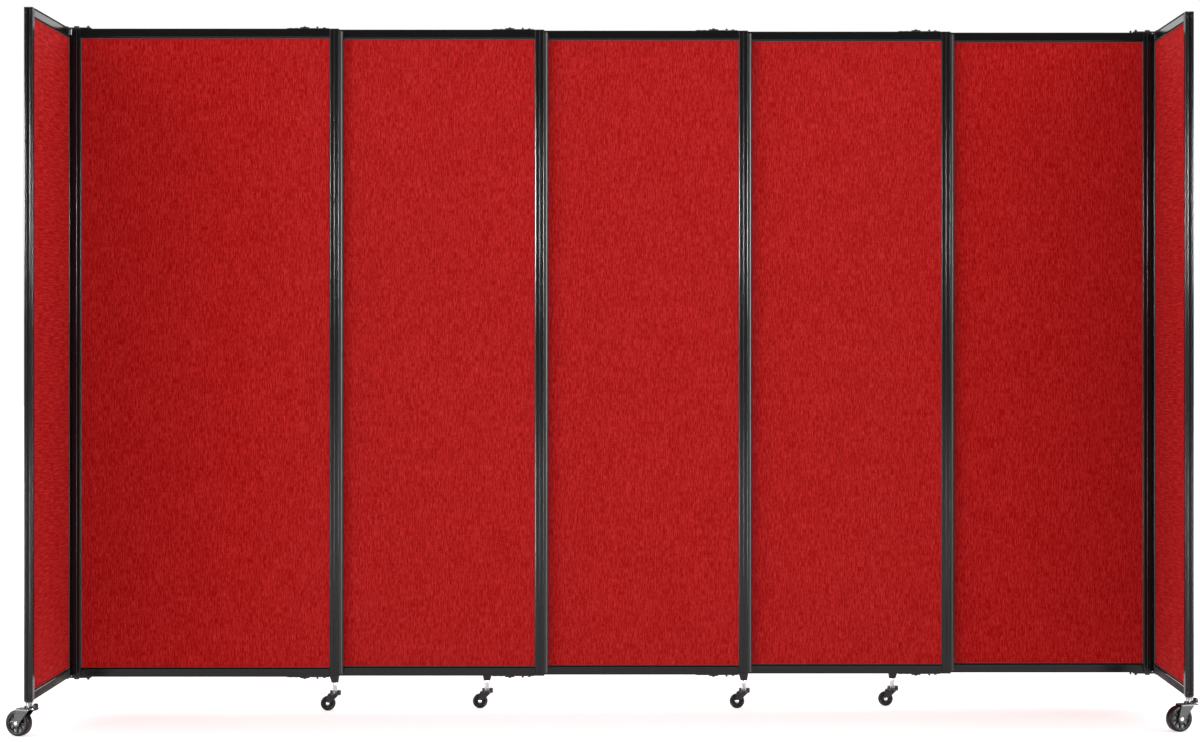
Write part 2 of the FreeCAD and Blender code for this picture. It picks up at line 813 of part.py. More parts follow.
os.makedirs("parts", exist_ok=True)
main_panels()
end_panels()
print("Each panel slides %.1f mm along the next." % slide_travel)
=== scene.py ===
"""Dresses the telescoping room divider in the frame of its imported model.

Sizes are in millimetres here and become metres in the meshes. +X runs along the wall to the right, +Y away from
the front and +Z up, with the origin on the floor under the middle panel.
"""

import logging
import math
from dataclasses import dataclass
from enum import Enum
from typing import Optional, Sequence, Union

import bmesh
import bpy
import numpy as np
from mathutils import Matrix


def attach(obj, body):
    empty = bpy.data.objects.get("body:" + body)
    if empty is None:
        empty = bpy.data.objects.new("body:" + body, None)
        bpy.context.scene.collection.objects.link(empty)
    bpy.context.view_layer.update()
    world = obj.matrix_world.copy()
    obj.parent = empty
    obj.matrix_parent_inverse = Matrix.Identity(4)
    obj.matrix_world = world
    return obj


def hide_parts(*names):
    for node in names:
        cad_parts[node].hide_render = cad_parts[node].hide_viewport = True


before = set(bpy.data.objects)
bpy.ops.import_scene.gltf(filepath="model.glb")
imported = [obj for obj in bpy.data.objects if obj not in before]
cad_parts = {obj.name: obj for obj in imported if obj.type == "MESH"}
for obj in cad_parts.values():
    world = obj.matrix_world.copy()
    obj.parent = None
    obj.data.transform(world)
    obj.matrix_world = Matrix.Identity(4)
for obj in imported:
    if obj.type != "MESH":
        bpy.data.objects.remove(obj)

LOG = logging.getLogger("divider")
MM = 0.001
SHARP_ANGLE = math.radians(34)
POLE = 0.05  # the small ring that a turned piece starts from on its axis
FULL_TURN = 2 * math.pi
Value = Union[float, Sequence[float], bpy.types.NodeSocket]


# ---------------------------------------------------------------- placing

def shift(x: float = 0.0, y: float = 0.0, z: float = 0.0) -> np.ndarray:
    """A 4x4 matrix that moves things.

    Args:
        x: The move along X.
        y: The move along Y.
        z: The move along Z.

    Returns:
        The matrix.
    """
    matrix = np.eye(4)
    matrix[:3, 3] = (x, y, z)
    return matrix


def turn(degrees: float) -> np.ndarray:
    """A 4x4 matrix that turns things about Z.

    Args:
        degrees: The angle, anticlockwise from above.

    Returns:
        The matrix.
    """
    angle = math.radians(degrees)
    matrix = np.eye(4)
    matrix[:2, :2] = [[math.cos(angle), -math.sin(angle)], [math.sin(angle), math.cos(angle)]]
    return matrix


def axes(x: Sequence[float], y: Sequence[float], z: Sequence[float]) -> np.ndarray:
    """A 4x4 matrix that sends the three axes to other directions.

    Args:
        x: Where X goes.
        y: Where Y goes.
        z: Where Z goes.

    Returns:
        The matrix.
    """
    matrix = np.eye(4)
    matrix[:3, :3] = np.array([x, y, z], float).T
    return matrix


ALONG_X = axes((0, 1, 0), (0, 0, 1), (1, 0, 0))
ALONG_Y = axes((1, 0, 0), (0, 0, 1), (0, 1, 0))


class Side(Enum):
    """The two ends of the wall, with the sign of X there."""

    LEFT = -1
    RIGHT = 1

    @property
    def word(self) -> str:
        """The side's name, as in the nodes."""
        return self.name.lower()


@dataclass(frozen=True)
class Wall:
    """The sizes that place every piece."""

    panel_width: float = 816.0
    end_width: float = 610.0
    floor_gap: float = 104.0
    frame_top: float = 2083.0
    layer_pitch: float = 29.0
    panel_step: float = 625.7
    stem_inset: float = 13.0
    pivot_offset: float = 17.2
    toe_in: float = 0.9
    caster_swing: float = 20.0
    panels: tuple[int, ...] = (1, 2, 3, 4, 5)

    def outer_panel(self, side: Side) -> int:
        """The number of the main panel that an end panel hangs on."""
        return self.panels[0] if side is Side.LEFT else self.panels[-1]

    def panel_place(self, number: int) -> np.ndarray:
        """Where a main panel's left edge and middle plane are: steps counted from the middle panel."""
        steps = number - self.panels[len(self.panels) // 2]
        return shift(steps * self.panel_step - self.panel_width / 2, steps * self.layer_pitch)

    def hinge_place(self, side: Side) -> np.ndarray:
        """The pivot line of an end panel, with X pointing along that panel to its free edge.

        Args:
            side: The end of the wall.

        Returns:
            The place, as a 4x4 matrix.
        """
        number = self.outer_panel(side)
        beyond = -self.pivot_offset if side is Side.LEFT else self.panel_width + self.pivot_offset
        return self.panel_place(number) @ shift(beyond) @ turn(-90.0 - side.value * self.toe_in)

    def end_place(self, side: Side) -> np.ndarray:
        """Where an end panel's hinged edge and middle plane are."""
        return self.hinge_place(side) @ shift(-self.stem_inset)

    def end_stem(self, side: Side) -> np.ndarray:
        """The place on the floor under an end panel's caster stem."""
        spot = self.hinge_place(side) @ np.array([self.end_width - 2 * self.stem_inset, 0.0, 0.0, 1.0])
        return shift(spot[0], spot[1])

    def top_and_bottom(self) -> tuple[np.ndarray, np.ndarray]:
        """The two ways up of a fitting that is drawn at the top.

        Returns:
            The top as drawn, and its mirror image about the frame's mid height.
        """
        flipped = np.diag([1.0, 1.0, -1.0, 1.0])
        flipped[2, 3] = self.floor_gap + self.frame_top
        return np.eye(4), flipped


WALL = Wall()


# ---------------------------------------------------------------- surfaces

@dataclass
class Skin:
    """A surface of rings: each row of the grid is a closed ring of points, joined to the next row.

    A looped skin also joins its last ring to its first. Any other skin is closed by a face over each end ring.
    """

    rings: np.ndarray
    looped: bool = False

    def placed(self, place: np.ndarray) -> "Skin":
        """The skin carried by a 4x4 matrix."""
        return Skin(self.rings @ place[:3, :3].T + place[:3, 3], self.looped)

    def faces(self, first: int) -> list[list[int]]:
        """The faces, whose points are numbered from first.

        Args:
            first: The number of the skin's first point in its mesh.

        Returns:
            Four-sided faces between the rings, and the two end faces of a skin that isn't looped.
        """
        rows, columns = self.rings.shape[:2]
        index = first + np.arange(rows * columns).reshape(rows, columns)
        here = index if self.looped else index[:-1]
        there = np.roll(index, -1, axis=0) if self.looped else index[1:]
        quads = np.stack([here, np.roll(here, -1, 1), np.roll(there, -1, 1), there], axis=-1)
        ends = [] if self.looped else [index[0, ::-1].tolist(), index[-1].tolist()]
        return quads.reshape(-1, 4).tolist() + ends


@dataclass
class Outline:
    """A closed line in a plane: its points, and the outward direction at each."""

    points: np.ndarray
    outward: np.ndarray

    @staticmethod
    def rounded(corners: Sequence[tuple[float, float, float]], steps: int = 5) -> "Outline":
        """An outline with an arc at each corner, given anticlockwise.

        The directions to the corners before and after meet at twice a half angle. The arc's centre is on their
        bisector, at radius / sin(half angle), and the arc turns from one touching point to the other.

        Args:
            corners: (x, y, radius) of each corner; every radius is above 0.
            steps: Steps along each arc.

        Returns:
            The outline, whose outward direction points away from the centre of a corner that stands out and
            towards the centre of one that goes in.
        """
        data = np.asarray(corners, float)
        here, radius = data[:, :2], data[:, 2:]
        back = np.roll(here, 1, 0) - here
        on = np.roll(here, -1, 0) - here
        back = back / np.linalg.norm(back, axis=1, keepdims=True)
        on = on / np.linalg.norm(on, axis=1, keepdims=True)
        half = np.arccos(np.clip((back * on).sum(1, keepdims=True), -1, 1)) / 2
        bisector = (back + on) / np.linalg.norm(back + on, axis=1, keepdims=True)
        centre = here + bisector * radius / np.sin(half)
        start = here + back * radius / np.tan(half) - centre
        end = here + on * radius / np.tan(half) - centre
        first = np.arctan2(start[:, 1], start[:, 0])[:, None]
        last = np.arctan2(end[:, 1], end[:, 0])[:, None]
        swing = (last - first + math.pi) % FULL_TURN - math.pi
        angle = first + swing * np.linspace(0, 1, steps + 1)[None]
        ray = np.stack([np.cos(angle), np.sin(angle)], axis=-1)
        points = centre[:, None] + radius[:, None] * ray
        return Outline(points.reshape(-1, 2), (ray * np.sign(swing)[:, :, None]).reshape(-1, 2))

    @staticmethod
    def box(x0: float, x1: float, y0: float, y1: float, radius: float) -> "Outline":
        """A rectangle with equal arcs at its corners."""
        return Outline.rounded([(x0, y0, radius), (x1, y0, radius), (x1, y1, radius), (x0, y1, radius)])

    @staticmethod
    def circle(radius: float, count: int = 24) -> "Outline":
        """A circle about the origin.

        Args:
            radius: Its radius.
            count: Its points.

        Returns:
            The outline.
        """
        angle = np.linspace(0, FULL_TURN, count, endpoint=False)
        ray = np.stack([np.cos(angle), np.sin(angle)], axis=-1)
        return Outline(radius * ray, ray)


def prism(outline: Outline, low: float, high: float, edge: float, steps: int = 3) -> Skin:
    """An outline carried along its plane's normal, with a round rim at both ends.

    At a share of a quarter turn on a rim, the outline is drawn in by edge * (1 - sin) and stands
    edge * (1 - cos) from the end.

    Args:
        outline: The section.
        low: Where it starts.
        high: Where it ends.
        edge: The rims' radius.
        steps: Steps along each rim.

    Returns:
        The closed skin.
    """
    angle = np.linspace(0, math.pi / 2, steps + 1)
    inset = edge * (1 - np.sin(angle))
    rise = edge * (1 - np.cos(angle))
    inset = np.concatenate([inset, inset[::-1]])[:, None, None]
    height = np.concatenate([low + rise, (high - rise)[::-1]])[:, None, None]
    plane = outline.points[None] - outline.outward[None] * inset
    return Skin(np.concatenate([plane, np.broadcast_to(height, plane.shape[:2] + (1,))], axis=-1))


def holed_prism(outline: Outline, hole: float, low: float, high: float, edge: float) -> Skin:
    """A prism with a round hole about the origin: each outline point is joined to the hole's rim towards it.

    Args:
        outline: The section, with the origin inside it.
        hole: The hole's radius.
        low: Where it starts.
        high: Where it ends.
        edge: The outer rims' radius.

    Returns:
        The looped skin.
    """
    body = prism(outline, low, high, edge).rings
    rim = hole * outline.points / np.linalg.norm(outline.points, axis=1, keepdims=True)
    ends = [np.column_stack([rim, np.full(len(rim), height)])[None] for height in (low, high)]
    return Skin(np.concatenate([ends[0], body, ends[1]]), looped=True)


def lathe(profile: Sequence[tuple[float, ...]], looped: bool = False, count: int = 48) -> Skin:
    """A profile turned about Z.

    A point's third number is how far its ring is a hexagon: there the radius, measured to a flat, is divided by
    the cosine of the angle to that flat's middle.

    Args:
        profile: (radius, height) or (radius, height, hexagon share) points.
        looped: Whether the profile closes on itself, as for a ring.
        count: Points in each ring, a multiple of 12.

    Returns:
        The skin, with one ring for each point of the profile.
    """
    rows = np.array([(p[0], p[1], p[2] if len(p) > 2 else 0.0) for p in profile], float)
    angle = np.linspace(0, FULL_TURN, count, endpoint=False)
    from_flat = (angle + math.pi / 6) % (math.pi / 3) - math.pi / 6
    radius = rows[:, :1] * (1 + rows[:, 2:] * (1 / np.cos(from_flat) - 1)[None])
    height = np.broadcast_to(rows[:, 1:2], radius.shape)
    return Skin(np.stack([radius * np.cos(angle), radius * np.sin(angle), height], axis=-1), looped)


class Draft:
    """The skins of one piece, joined into one mesh object at the origin."""

    def __init__(self, name: str) -> None:
        """Starts an empty piece.

        Args:
            name: The object's name.
        """
        self.name = name
        self.skins: list[tuple[Skin, int]] = []

    def add(self, skin: Skin, place: Optional[np.ndarray] = None, finish: int = 0) -> None:
        """Adds a skin, carried by a matrix, with the number of its finish."""
        self.skins.append((skin if place is None else skin.placed(place), finish))

    def make(self, finishes: Sequence[bpy.types.Material], body: str, nodes: Sequence[str], slot: str,
             uv: Optional[np.ndarray] = None) -> bpy.types.Object:
        """Builds the object, turns its faces outwards and fits it to the frame.

        Args:
            finishes: The materials, by number.
            body: The body it rides on.
            nodes: The nodes it stands for, if any.
            slot: The record's material slot; not used.
            uv: Surface coordinates of the points, in metres.

        Returns:
            The finished piece.
        """
        points, faces, numbers = [], [], []
        count = 0
        for skin, finish in self.skins:
            made = skin.faces(count)
            faces += made
            numbers += [finish] * len(made)
            points.append(skin.rings.reshape(-1, 3))
            count += len(points[-1])
        mesh = bpy.data.meshes.new(self.name)
        mesh.from_pydata((np.concatenate(points) * MM).tolist(), [], faces)
        mesh.polygons.foreach_set("material_index", numbers)
        if uv is not None:
            corners = np.zeros(len(mesh.loops), np.int32)
            mesh.loops.foreach_get("vertex_index", corners)
            mesh.uv_layers.new(name="cloth").data.foreach_set("uv", uv[corners].astype(np.float32).ravel())
        work = bmesh.new()
        work.from_mesh(mesh)
        bmesh.ops.recalc_face_normals(work, faces=work.faces[:])
        work.to_mesh(mesh)
        work.free()
        mesh.shade_smooth()
        mesh.set_sharp_from_angle(angle=SHARP_ANGLE)
        piece = bpy.data.objects.new(self.name, mesh)
        bpy.context.scene.collection.objects.link(piece)
        for material in finishes:
            mesh.materials.append(material)
        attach(piece, body)
        if nodes:
            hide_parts(*nodes)
        LOG.info("%s: %d faces on %s", self.name, len(faces), body)
        return piece


# ---------------------------------------------------------------- finishes

class Nodes:
    """Adds shader nodes to one tree."""

    def __init__(self, tree: bpy.types.NodeTree) -> None:
        """Takes the tree that the nodes go in."""
        self.tree = tree

    def join(self, value: Value, socket: bpy.types.NodeSocket) -> None:
        """Links a socket to an input, or sets the input to a plain value.

        Args:
            value: A node's output, or the plain value.
            socket: The input.
        """
        if isinstance(value, bpy.types.NodeSocket):
            self.tree.links.new(value, socket)
        else:
            socket.default_value = value

    def new(self, kind: str, inputs: Optional[dict[str, Value]] = None, **settings: object) -> bpy.types.Node:
        """Adds a node.

        Args:
            kind: The node's type name, without its common start.
            inputs: Values or sockets for its inputs, by name.
            **settings: The node's own options.

        Returns:
            The node.
        """
        node = self.tree.nodes.new("ShaderNode" + kind)
        for key, option in settings.items():
            setattr(node, key, option)
        for key, value in (inputs or {}).items():
            self.join(value, node.inputs[key])
        return node

    def math(self, operation: str, *values: Value) -> bpy.types.NodeSocket:
        """A sum, product or other step on plain values.

        Args:
            operation: The step's name.
            *values: What it works on, in order.

        Returns:
            The result.
        """
        node = self.new("Math", operation=operation)
        for value, socket in zip(values, node.inputs):
            self.join(value, socket)
        return node.outputs[0]

    def mix(self, share: Value, low: Value, high: Value) -> bpy.types.NodeSocket:
        """A colour between two others.

        Args:
            share: How far it has gone from the first to the second.
            low: The colour at 0.
            high: The colour at 1.

        Returns:
            The colour.
        """
        node = self.new("Mix", data_type="RGBA")
        for value, number in ((share, 0), (low, 6), (high, 7)):
            self.join(value, node.inputs[number])
        return node.outputs[2]

    def span(self, value: Value, low: float, high: float, start: float = 0.0, end: float = 1.0,
             smooth: bool = False) -> bpy.types.NodeSocket:
        """A value carried from one range to another, and held there.

        Args:
            value: The value.
            low: Where its range starts.
            high: Where its range ends.
            start: What the result is at low.
            end: What the result is at high.
            smooth: Whether the result eases in and out.

        Returns:
            The result.
        """
        kind = "SMOOTHSTEP" if smooth else "LINEAR"
        node = self.new("MapRange", {"Value": value, "From Min": low, "From Max": high, "To Min": start,
                                     "To Max": end}, interpolation_type=kind)
        return node.outputs[0]

    def noise(self, vector: Value, scale: float, detail: float = 2.0,
              roughness: float = 0.5) -> bpy.types.NodeSocket:
        """A cloudy value about a half."""
        return self.new("TexNoise", {"Vector": vector, "Scale": scale, "Detail": detail,
                                     "Roughness": roughness}).outputs[0]

    def stretched(self, vector: Value, by: Value) -> bpy.types.NodeSocket:
        """A vector multiplied by another, axis by axis.

        Args:
            vector: The vector.
            by: The three factors.

        Returns:
            The product.
        """
        node = self.new("VectorMath", operation="MULTIPLY")
        self.join(vector, node.inputs[0])
        self.join(by, node.inputs[1])
        return node.outputs[0]

    def group(self, tree: bpy.types.NodeTree, inputs: dict[str, Value]) -> bpy.types.Node:
        """A shared group, placed with its own values.

        Args:
            tree: The group.
            inputs: Values or sockets for its inputs, by name.

        Returns:
            The group's node.
        """
        node = self.new("Group")
        node.node_tree = tree
        for key, value in inputs.items():
            self.join(value, node.inputs[key])
        return node


def colour(red: float, green: float, blue: float) -> tuple[float, float, float, float]:
    """An opaque colour."""
    return red, green, blue, 1.0


def grey(level: float) -> tuple[float, float, float, float]:
    """An opaque grey."""
    return colour(level, level, level)


VECTOR, FLOAT = "NodeSocketVector", "NodeSocketFloat"


class Effects:
    """The shader groups that more than one finish uses."""

    def __init__(self) -> None:
        """Builds each group once."""
        self.wear = self._wear()
        self.lines = self._lines()
        self.grain = self._grain()
        self.dust = self._dust()

    @staticmethod
    def _open(name: str, inputs: dict[str, str],
              outputs: Sequence[str]) -> tuple[Nodes, bpy.types.Node, bpy.types.Node]:
        """Starts a group.

        Args:
            name: The group's name.
            inputs: Socket kinds by name.
            outputs: The names of its values.

        Returns:
            The group's nodes, its input node and its output node.
        """
        tree = bpy.data.node_groups.new(name, "ShaderNodeTree")
        for key, kind in inputs.items():
            tree.interface.new_socket(key, in_out="INPUT", socket_type=kind)
        for key in outputs:
            tree.interface.new_socket(key, in_out="OUTPUT", socket_type=FLOAT)
        nodes = Nodes(tree)
        return nodes, tree.nodes.new("NodeGroupInput"), tree.nodes.new("NodeGroupOutput")

    def _wear(self) -> bpy.types.NodeTree:
        """Rubbed edges: where a rounded normal leaves the true one, broken up by noise.

        Returns:
            The group.
        """
        nodes, given, out = self._open("edge_wear", {"Vector": VECTOR, "Radius": FLOAT}, ["Mask"])
        soft = nodes.new("Bevel", {"Radius": given.outputs["Radius"]}, samples=4)
        facing = nodes.new("VectorMath", operation="DOT_PRODUCT")
        nodes.join(soft.outputs[0], facing.inputs[0])
        nodes.join(nodes.new("NewGeometry").outputs["Normal"], facing.inputs[1])
        edge = nodes.span(facing.outputs["Value"], 0.985, 0.80)
        patchy = nodes.span(nodes.noise(given.outputs["Vector"], 90.0, 4.0), 0.38, 0.68)
        nodes.join(nodes.math("MULTIPLY", edge, patchy), out.inputs["Mask"])
        return nodes.tree

    def _lines(self) -> bpy.types.NodeTree:
        """Drawn lines along a bar: noise that is squeezed across it and stretched along it.

        Returns:
            The group.
        """
        nodes, given, out = self._open("drawn_lines", {"Vector": VECTOR, "Stretch": VECTOR}, ["Lines"])
        along = nodes.stretched(given.outputs["Vector"], given.outputs["Stretch"])
        nodes.join(nodes.noise(along, 1.0, 3.0, 0.65), out.inputs["Lines"])
        return nodes.tree

    def _grain(self) -> bpy.types.NodeTree:
        """A moulded or sprayed skin: fine pimples on a slow drift of tone.

        Returns:
            The group.
        """
        nodes, given, out = self._open("skin_grain", {"Vector": VECTOR, "Scale": FLOAT}, ["Pimples", "Drift"])
        fine = nodes.new("TexNoise", {"Vector": given.outputs["Vector"], "Scale": given.outputs["Scale"],
                                      "Detail": 2.0})
        nodes.join(fine.outputs[0], out.inputs["Pimples"])
        nodes.join(nodes.noise(given.outputs["Vector"], 14.0, 3.0), out.inputs["Drift"])
        return nodes.tree

    def _dust(self) -> bpy.types.NodeTree:
        """Dust: on faces that look up, and in patches low on the object.

        Returns:
            The group.
        """
        nodes, given, out = self._open("dust", {"Vector": VECTOR, "Low": FLOAT, "High": FLOAT}, ["Mask"])
        normal = nodes.new("SeparateXYZ", {"Vector": nodes.new("NewGeometry").outputs["Normal"]})
        upward = nodes.span(normal.outputs[2], 0.25, 1.0)
        place = nodes.new("SeparateXYZ", {"Vector": given.outputs["Vector"]})
        low = nodes.new("MapRange", {"Value": place.outputs[2], "From Min": given.outputs["High"],
                                     "From Max": given.outputs["Low"]}).outputs[0]
        patchy = nodes.span(nodes.noise(given.outputs["Vector"], 60.0, 5.0, 0.6), 0.35, 0.75)
        either = nodes.math("MAXIMUM", upward, low)
        nodes.join(nodes.math("MULTIPLY", either, patchy), out.inputs["Mask"])
        return nodes.tree


class BarAxis(Enum):
    """The way a bar runs, as the noise stretch that draws lines along it."""

    UPRIGHT = (900.0, 900.0, 5.0)
    LEVEL = (5.0, 900.0, 900.0)
    DEEP = (900.0, 5.0, 900.0)


@dataclass(frozen=True)
class Finish:
    """A material's name and the shader that every finish starts from."""

    name: str

    def start(self, roughness: float, specular: float,
              metallic: float = 0.0) -> tuple[Nodes, bpy.types.Node, bpy.types.NodeSocket]:
        """Begins the material.

        Args:
            roughness: The plain roughness, which a link may replace.
            specular: The specular level.
            metallic: Whether it is bare metal.

        Returns:
            The material's nodes, its Principled shader and its Object coordinates.
        """
        material = bpy.data.materials.new(self.name)
        material.use_nodes = True
        nodes = Nodes(material.node_tree)
        shader = material.node_tree.nodes["Principled BSDF"]
        shader.inputs["Roughness"].default_value = roughness
        shader.inputs["Specular IOR Level"].default_value = specular
        shader.inputs["Metallic"].default_value = metallic
        return nodes, shader, nodes.new("TexCoord").outputs["Object"]

    def bumped(self, nodes: Nodes, shader: bpy.types.Node, height: Value, strength: float,
               distance: float, normal: Optional[bpy.types.NodeSocket] = None) -> bpy.types.Material:
        """Feeds a height to the shader's normal and gives the finished material.

        Args:
            nodes: The material's nodes.
            shader: Its Principled shader.
            height: The height, from 0 to 1.
            strength: The bump's strength.
            distance: The bump's depth, in metres.
            normal: The normal that the bump starts from, where it isn't the plain one.

        Returns:
            The material.
        """
        bump = nodes.new("Bump", {"Height": height, "Strength": strength, "Distance": distance})
        if normal is not None:
            nodes.join(normal, bump.inputs["Normal"])
        nodes.join(bump.outputs[0], shader.inputs["Normal"])
        return bpy.data.materials[self.name]


@dataclass(frozen=True)
class AnodisedBar(Finish):
    """Black anodised aluminium with drawn lines, and moulded plastic at the ends of the stiles."""

    axis: BarAxis = BarAxis.UPRIGHT
    level: float = 0.005
    plastic_level: float = 0.014
    cap_low: float = 0.106
    cap_high: float = 2.081

    def make(self, effects: Effects) -> bpy.types.Material:
        """Builds the material.

        Args:
            effects: The shared shader groups.

        Returns:
            The material.
        """
        nodes, shader, place = self.start(0.2, 0.3)
        lines = nodes.group(effects.lines, {"Vector": place, "Stretch": self.axis.value}).outputs["Lines"]
        wear = nodes.group(effects.wear, {"Vector": place, "Radius": 0.0007}).outputs["Mask"]
        grain = nodes.group(effects.grain, {"Vector": place, "Scale": 2600.0})
        height = nodes.new("SeparateXYZ", {"Vector": place}).outputs[2]
        middle = (self.cap_low + self.cap_high) / 2
        off = nodes.math("ABSOLUTE", nodes.math("SUBTRACT", height, middle))
        cap = nodes.math("GREATER_THAN", off, (self.cap_high - self.cap_low) / 2)
        bright = colour(self.level * 1.35, self.level * 1.35, self.level * 1.45)
        metal = nodes.mix(lines, grey(self.level * 0.7), bright)
        metal = nodes.mix(nodes.math("MULTIPLY", wear, 0.5), metal, grey(0.09))
        plastic = nodes.mix(grain.outputs["Drift"], grey(self.plastic_level * 0.8), grey(self.plastic_level * 1.3))
        nodes.join(nodes.mix(cap, metal, plastic), shader.inputs["Base Color"])
        gloss = nodes.span(lines, 0.25, 0.75, 0.12, 0.19)
        rough = nodes.math("ADD", gloss, nodes.math("MULTIPLY", cap, 0.18))
        nodes.join(rough, shader.inputs["Roughness"])
        relief = nodes.math("ADD", lines, nodes.math("MULTIPLY", cap, grain.outputs["Pimples"]))
        rounded = nodes.new("Bevel", {"Radius": 0.0035}, samples=6)
        return self.bumped(nodes, shader, relief, 0.12, 0.00004, rounded.outputs[0])


@dataclass(frozen=True)
class WovenCloth(Finish):
    """Plain-woven red panel cloth, drawn on the sheets' own surface coordinates in metres."""

    warp_pitch: float = 0.0028
    weft_pitch: float = 0.0026
    # dark and light end the tone, which takes in the painted shade and light of the weave
    dark: tuple[float, float, float] = (0.315, 0.0006, 0.0007)
    light: tuple[float, float, float] = (0.565, 0.0235, 0.0235)
    warp_run: float = 0.045
    weft_run: float = 0.016
    # weft rows: at 0.12 a faint tone of the rows; at the end panels' 2.6 painted shade of the rows seen at a slant
    row_tone_and_shade: float = 0.12

    def _threads(self, nodes: Nodes, across: bpy.types.NodeSocket, along: bpy.types.NodeSocket, pitch: float,
                 run: float) -> tuple[bpy.types.NodeSocket, bpy.types.NodeSocket, bpy.types.NodeSocket]:
        """One set of threads.

        Args:
            nodes: The material's nodes.
            across: The coordinate across the threads.
            along: The coordinate along them.
            pitch: The distance between threads.
            run: How far a thread keeps its tone.

        Returns:
            Each thread's round crown |sin|, its number, and its tone, which drifts along it.
        """
        count = nodes.math("DIVIDE", across, pitch)
        crown = nodes.math("ABSOLUTE", nodes.math("SINE", nodes.math("MULTIPLY", count, math.pi)))
        number = nodes.math("FLOOR", count)
        spot = nodes.new("CombineXYZ", {"X": nodes.math("MULTIPLY", number, 1.37),
                                        "Y": nodes.math("DIVIDE", along, run)})
        return crown, number, nodes.noise(spot.outputs[0], 1.0, 1.0)

    def make(self, effects: Effects) -> bpy.types.Material:
        """Builds the material: at each crossing the warp or the weft lies on top, in turn.

        The tone is the crown's height, as painted shade between the threads and painted light on their crowns, plus
        the thread's own tone, slubs that are longer than wide, a slow drift and weft rows that keep their tone for
        longer;
        a large row share paints the shade of the rows as seen at a slant.

        Args:
            effects: The shared shader groups, none of which a weave needs.

        Returns:
            The material.
        """
        nodes, shader, _ = self.start(0.92, 0.06)
        cloth = nodes.new("TexCoord").outputs["UV"]
        plane = nodes.new("SeparateXYZ", {"Vector": cloth})
        warp, warp_number, warp_tone = self._threads(nodes, plane.outputs[0], plane.outputs[1], self.warp_pitch,
                                                     self.warp_run)
        weft, weft_number, weft_tone = self._threads(nodes, plane.outputs[1], plane.outputs[0], self.weft_pitch,
                                                     self.weft_run)
        turn_about = nodes.math("FLOORED_MODULO", nodes.math("ADD", warp_number, weft_number), 2.0)
        crown = nodes.mix(turn_about, weft, warp)
        thread = nodes.mix(turn_about, weft_tone, warp_tone)
        slub = nodes.noise(nodes.stretched(cloth, (370.0, 60.0, 1.0)), 1.0, 2.0)
        drift = nodes.noise(cloth, 9.0, 3.0)
        row = nodes.noise(nodes.stretched(cloth, (12.0, 250.0, 1.0)), 1.0, 1.0)
        # painted shade and light: the crown's height darkens the tone between the threads and lightens it on their
        # crowns
        tone = nodes.span(crown, 0.0, 1.0, 0.12, 0.47)
        for part, share in ((thread, 1.1), (warp_tone, 0.9), (slub, 2.15), (drift, 0.2), (row, self.row_tone_and_shade)):
            tone = nodes.math("ADD", tone, nodes.math("MULTIPLY", nodes.math("SUBTRACT", part, 0.5), share))
        tone = nodes.span(tone, 0.0, 1.0)
        nodes.join(nodes.mix(tone, colour(*self.dark), colour(*self.light)), shader.inputs["Base Color"])
        nodes.join(nodes.span(crown, 0.0, 1.0, 0.98, 0.86), shader.inputs["Roughness"])
        return self.bumped(nodes, shader, crown, 0.45, 0.0005)


@dataclass(frozen=True)
class CoreBoard(Finish):
    """Light fibreboard with short fibres."""

    def make(self, effects: Effects) -> bpy.types.Material:
        """Builds the material.

        Args:
            effects: The shared shader groups.

        Returns:
            The material.
        """
        nodes, shader, place = self.start(0.85, 0.2)
        grain = nodes.group(effects.grain, {"Vector": place, "Scale": 900.0})
        fibre = nodes.noise(nodes.stretched(place, (90.0, 90.0, 700.0)), 1.0, 4.0, 0.7)
        tone = nodes.mix(fibre, colour(0.20, 0.13, 0.07), colour(0.47, 0.34, 0.21))
        tone = nodes.mix(nodes.math("MULTIPLY", grain.outputs["Drift"], 0.5), tone, colour(0.34, 0.24, 0.14))
        nodes.join(tone, shader.inputs["Base Color"])
        return self.bumped(nodes, shader, grain.outputs["Pimples"], 0.3, 0.0002)


@dataclass(frozen=True)
class PowderCoat(Finish):
    """Black sprayed or blackened steel, rubbed to bare metal on its edges."""

    level: float = 0.010
    roughness: float = 0.42
    pimples: float = 1500.0
    bare: float = 0.22

    def make(self, effects: Effects) -> bpy.types.Material:
        """Builds the material.

        Args:
            effects: The shared shader groups.

        Returns:
            The material.
        """
        nodes, shader, place = self.start(self.roughness, 0.4)
        grain = nodes.group(effects.grain, {"Vector": place, "Scale": self.pimples})
        wear = nodes.group(effects.wear, {"Vector": place, "Radius": 0.0006}).outputs["Mask"]
        dust = nodes.group(effects.dust, {"Vector": place, "Low": 0.0, "High": 0.07}).outputs["Mask"]
        tone = nodes.mix(grain.outputs["Drift"], grey(self.level * 0.6), grey(self.level * 1.5))
        tone = nodes.mix(nodes.math("MULTIPLY", dust, 0.25), tone, grey(0.16))
        nodes.join(nodes.mix(nodes.math("MULTIPLY", wear, 0.7), tone, grey(self.bare)), shader.inputs["Base Color"])
        nodes.join(nodes.math("MULTIPLY", wear, 0.7), shader.inputs["Metallic"])
        nodes.join(nodes.span(grain.outputs["Pimples"], 0.3, 0.7, self.roughness - 0.05, self.roughness + 0.07),
                   shader.inputs["Roughness"])
        return self.bumped(nodes, shader, grain.outputs["Pimples"], 0.22, 0.00012)


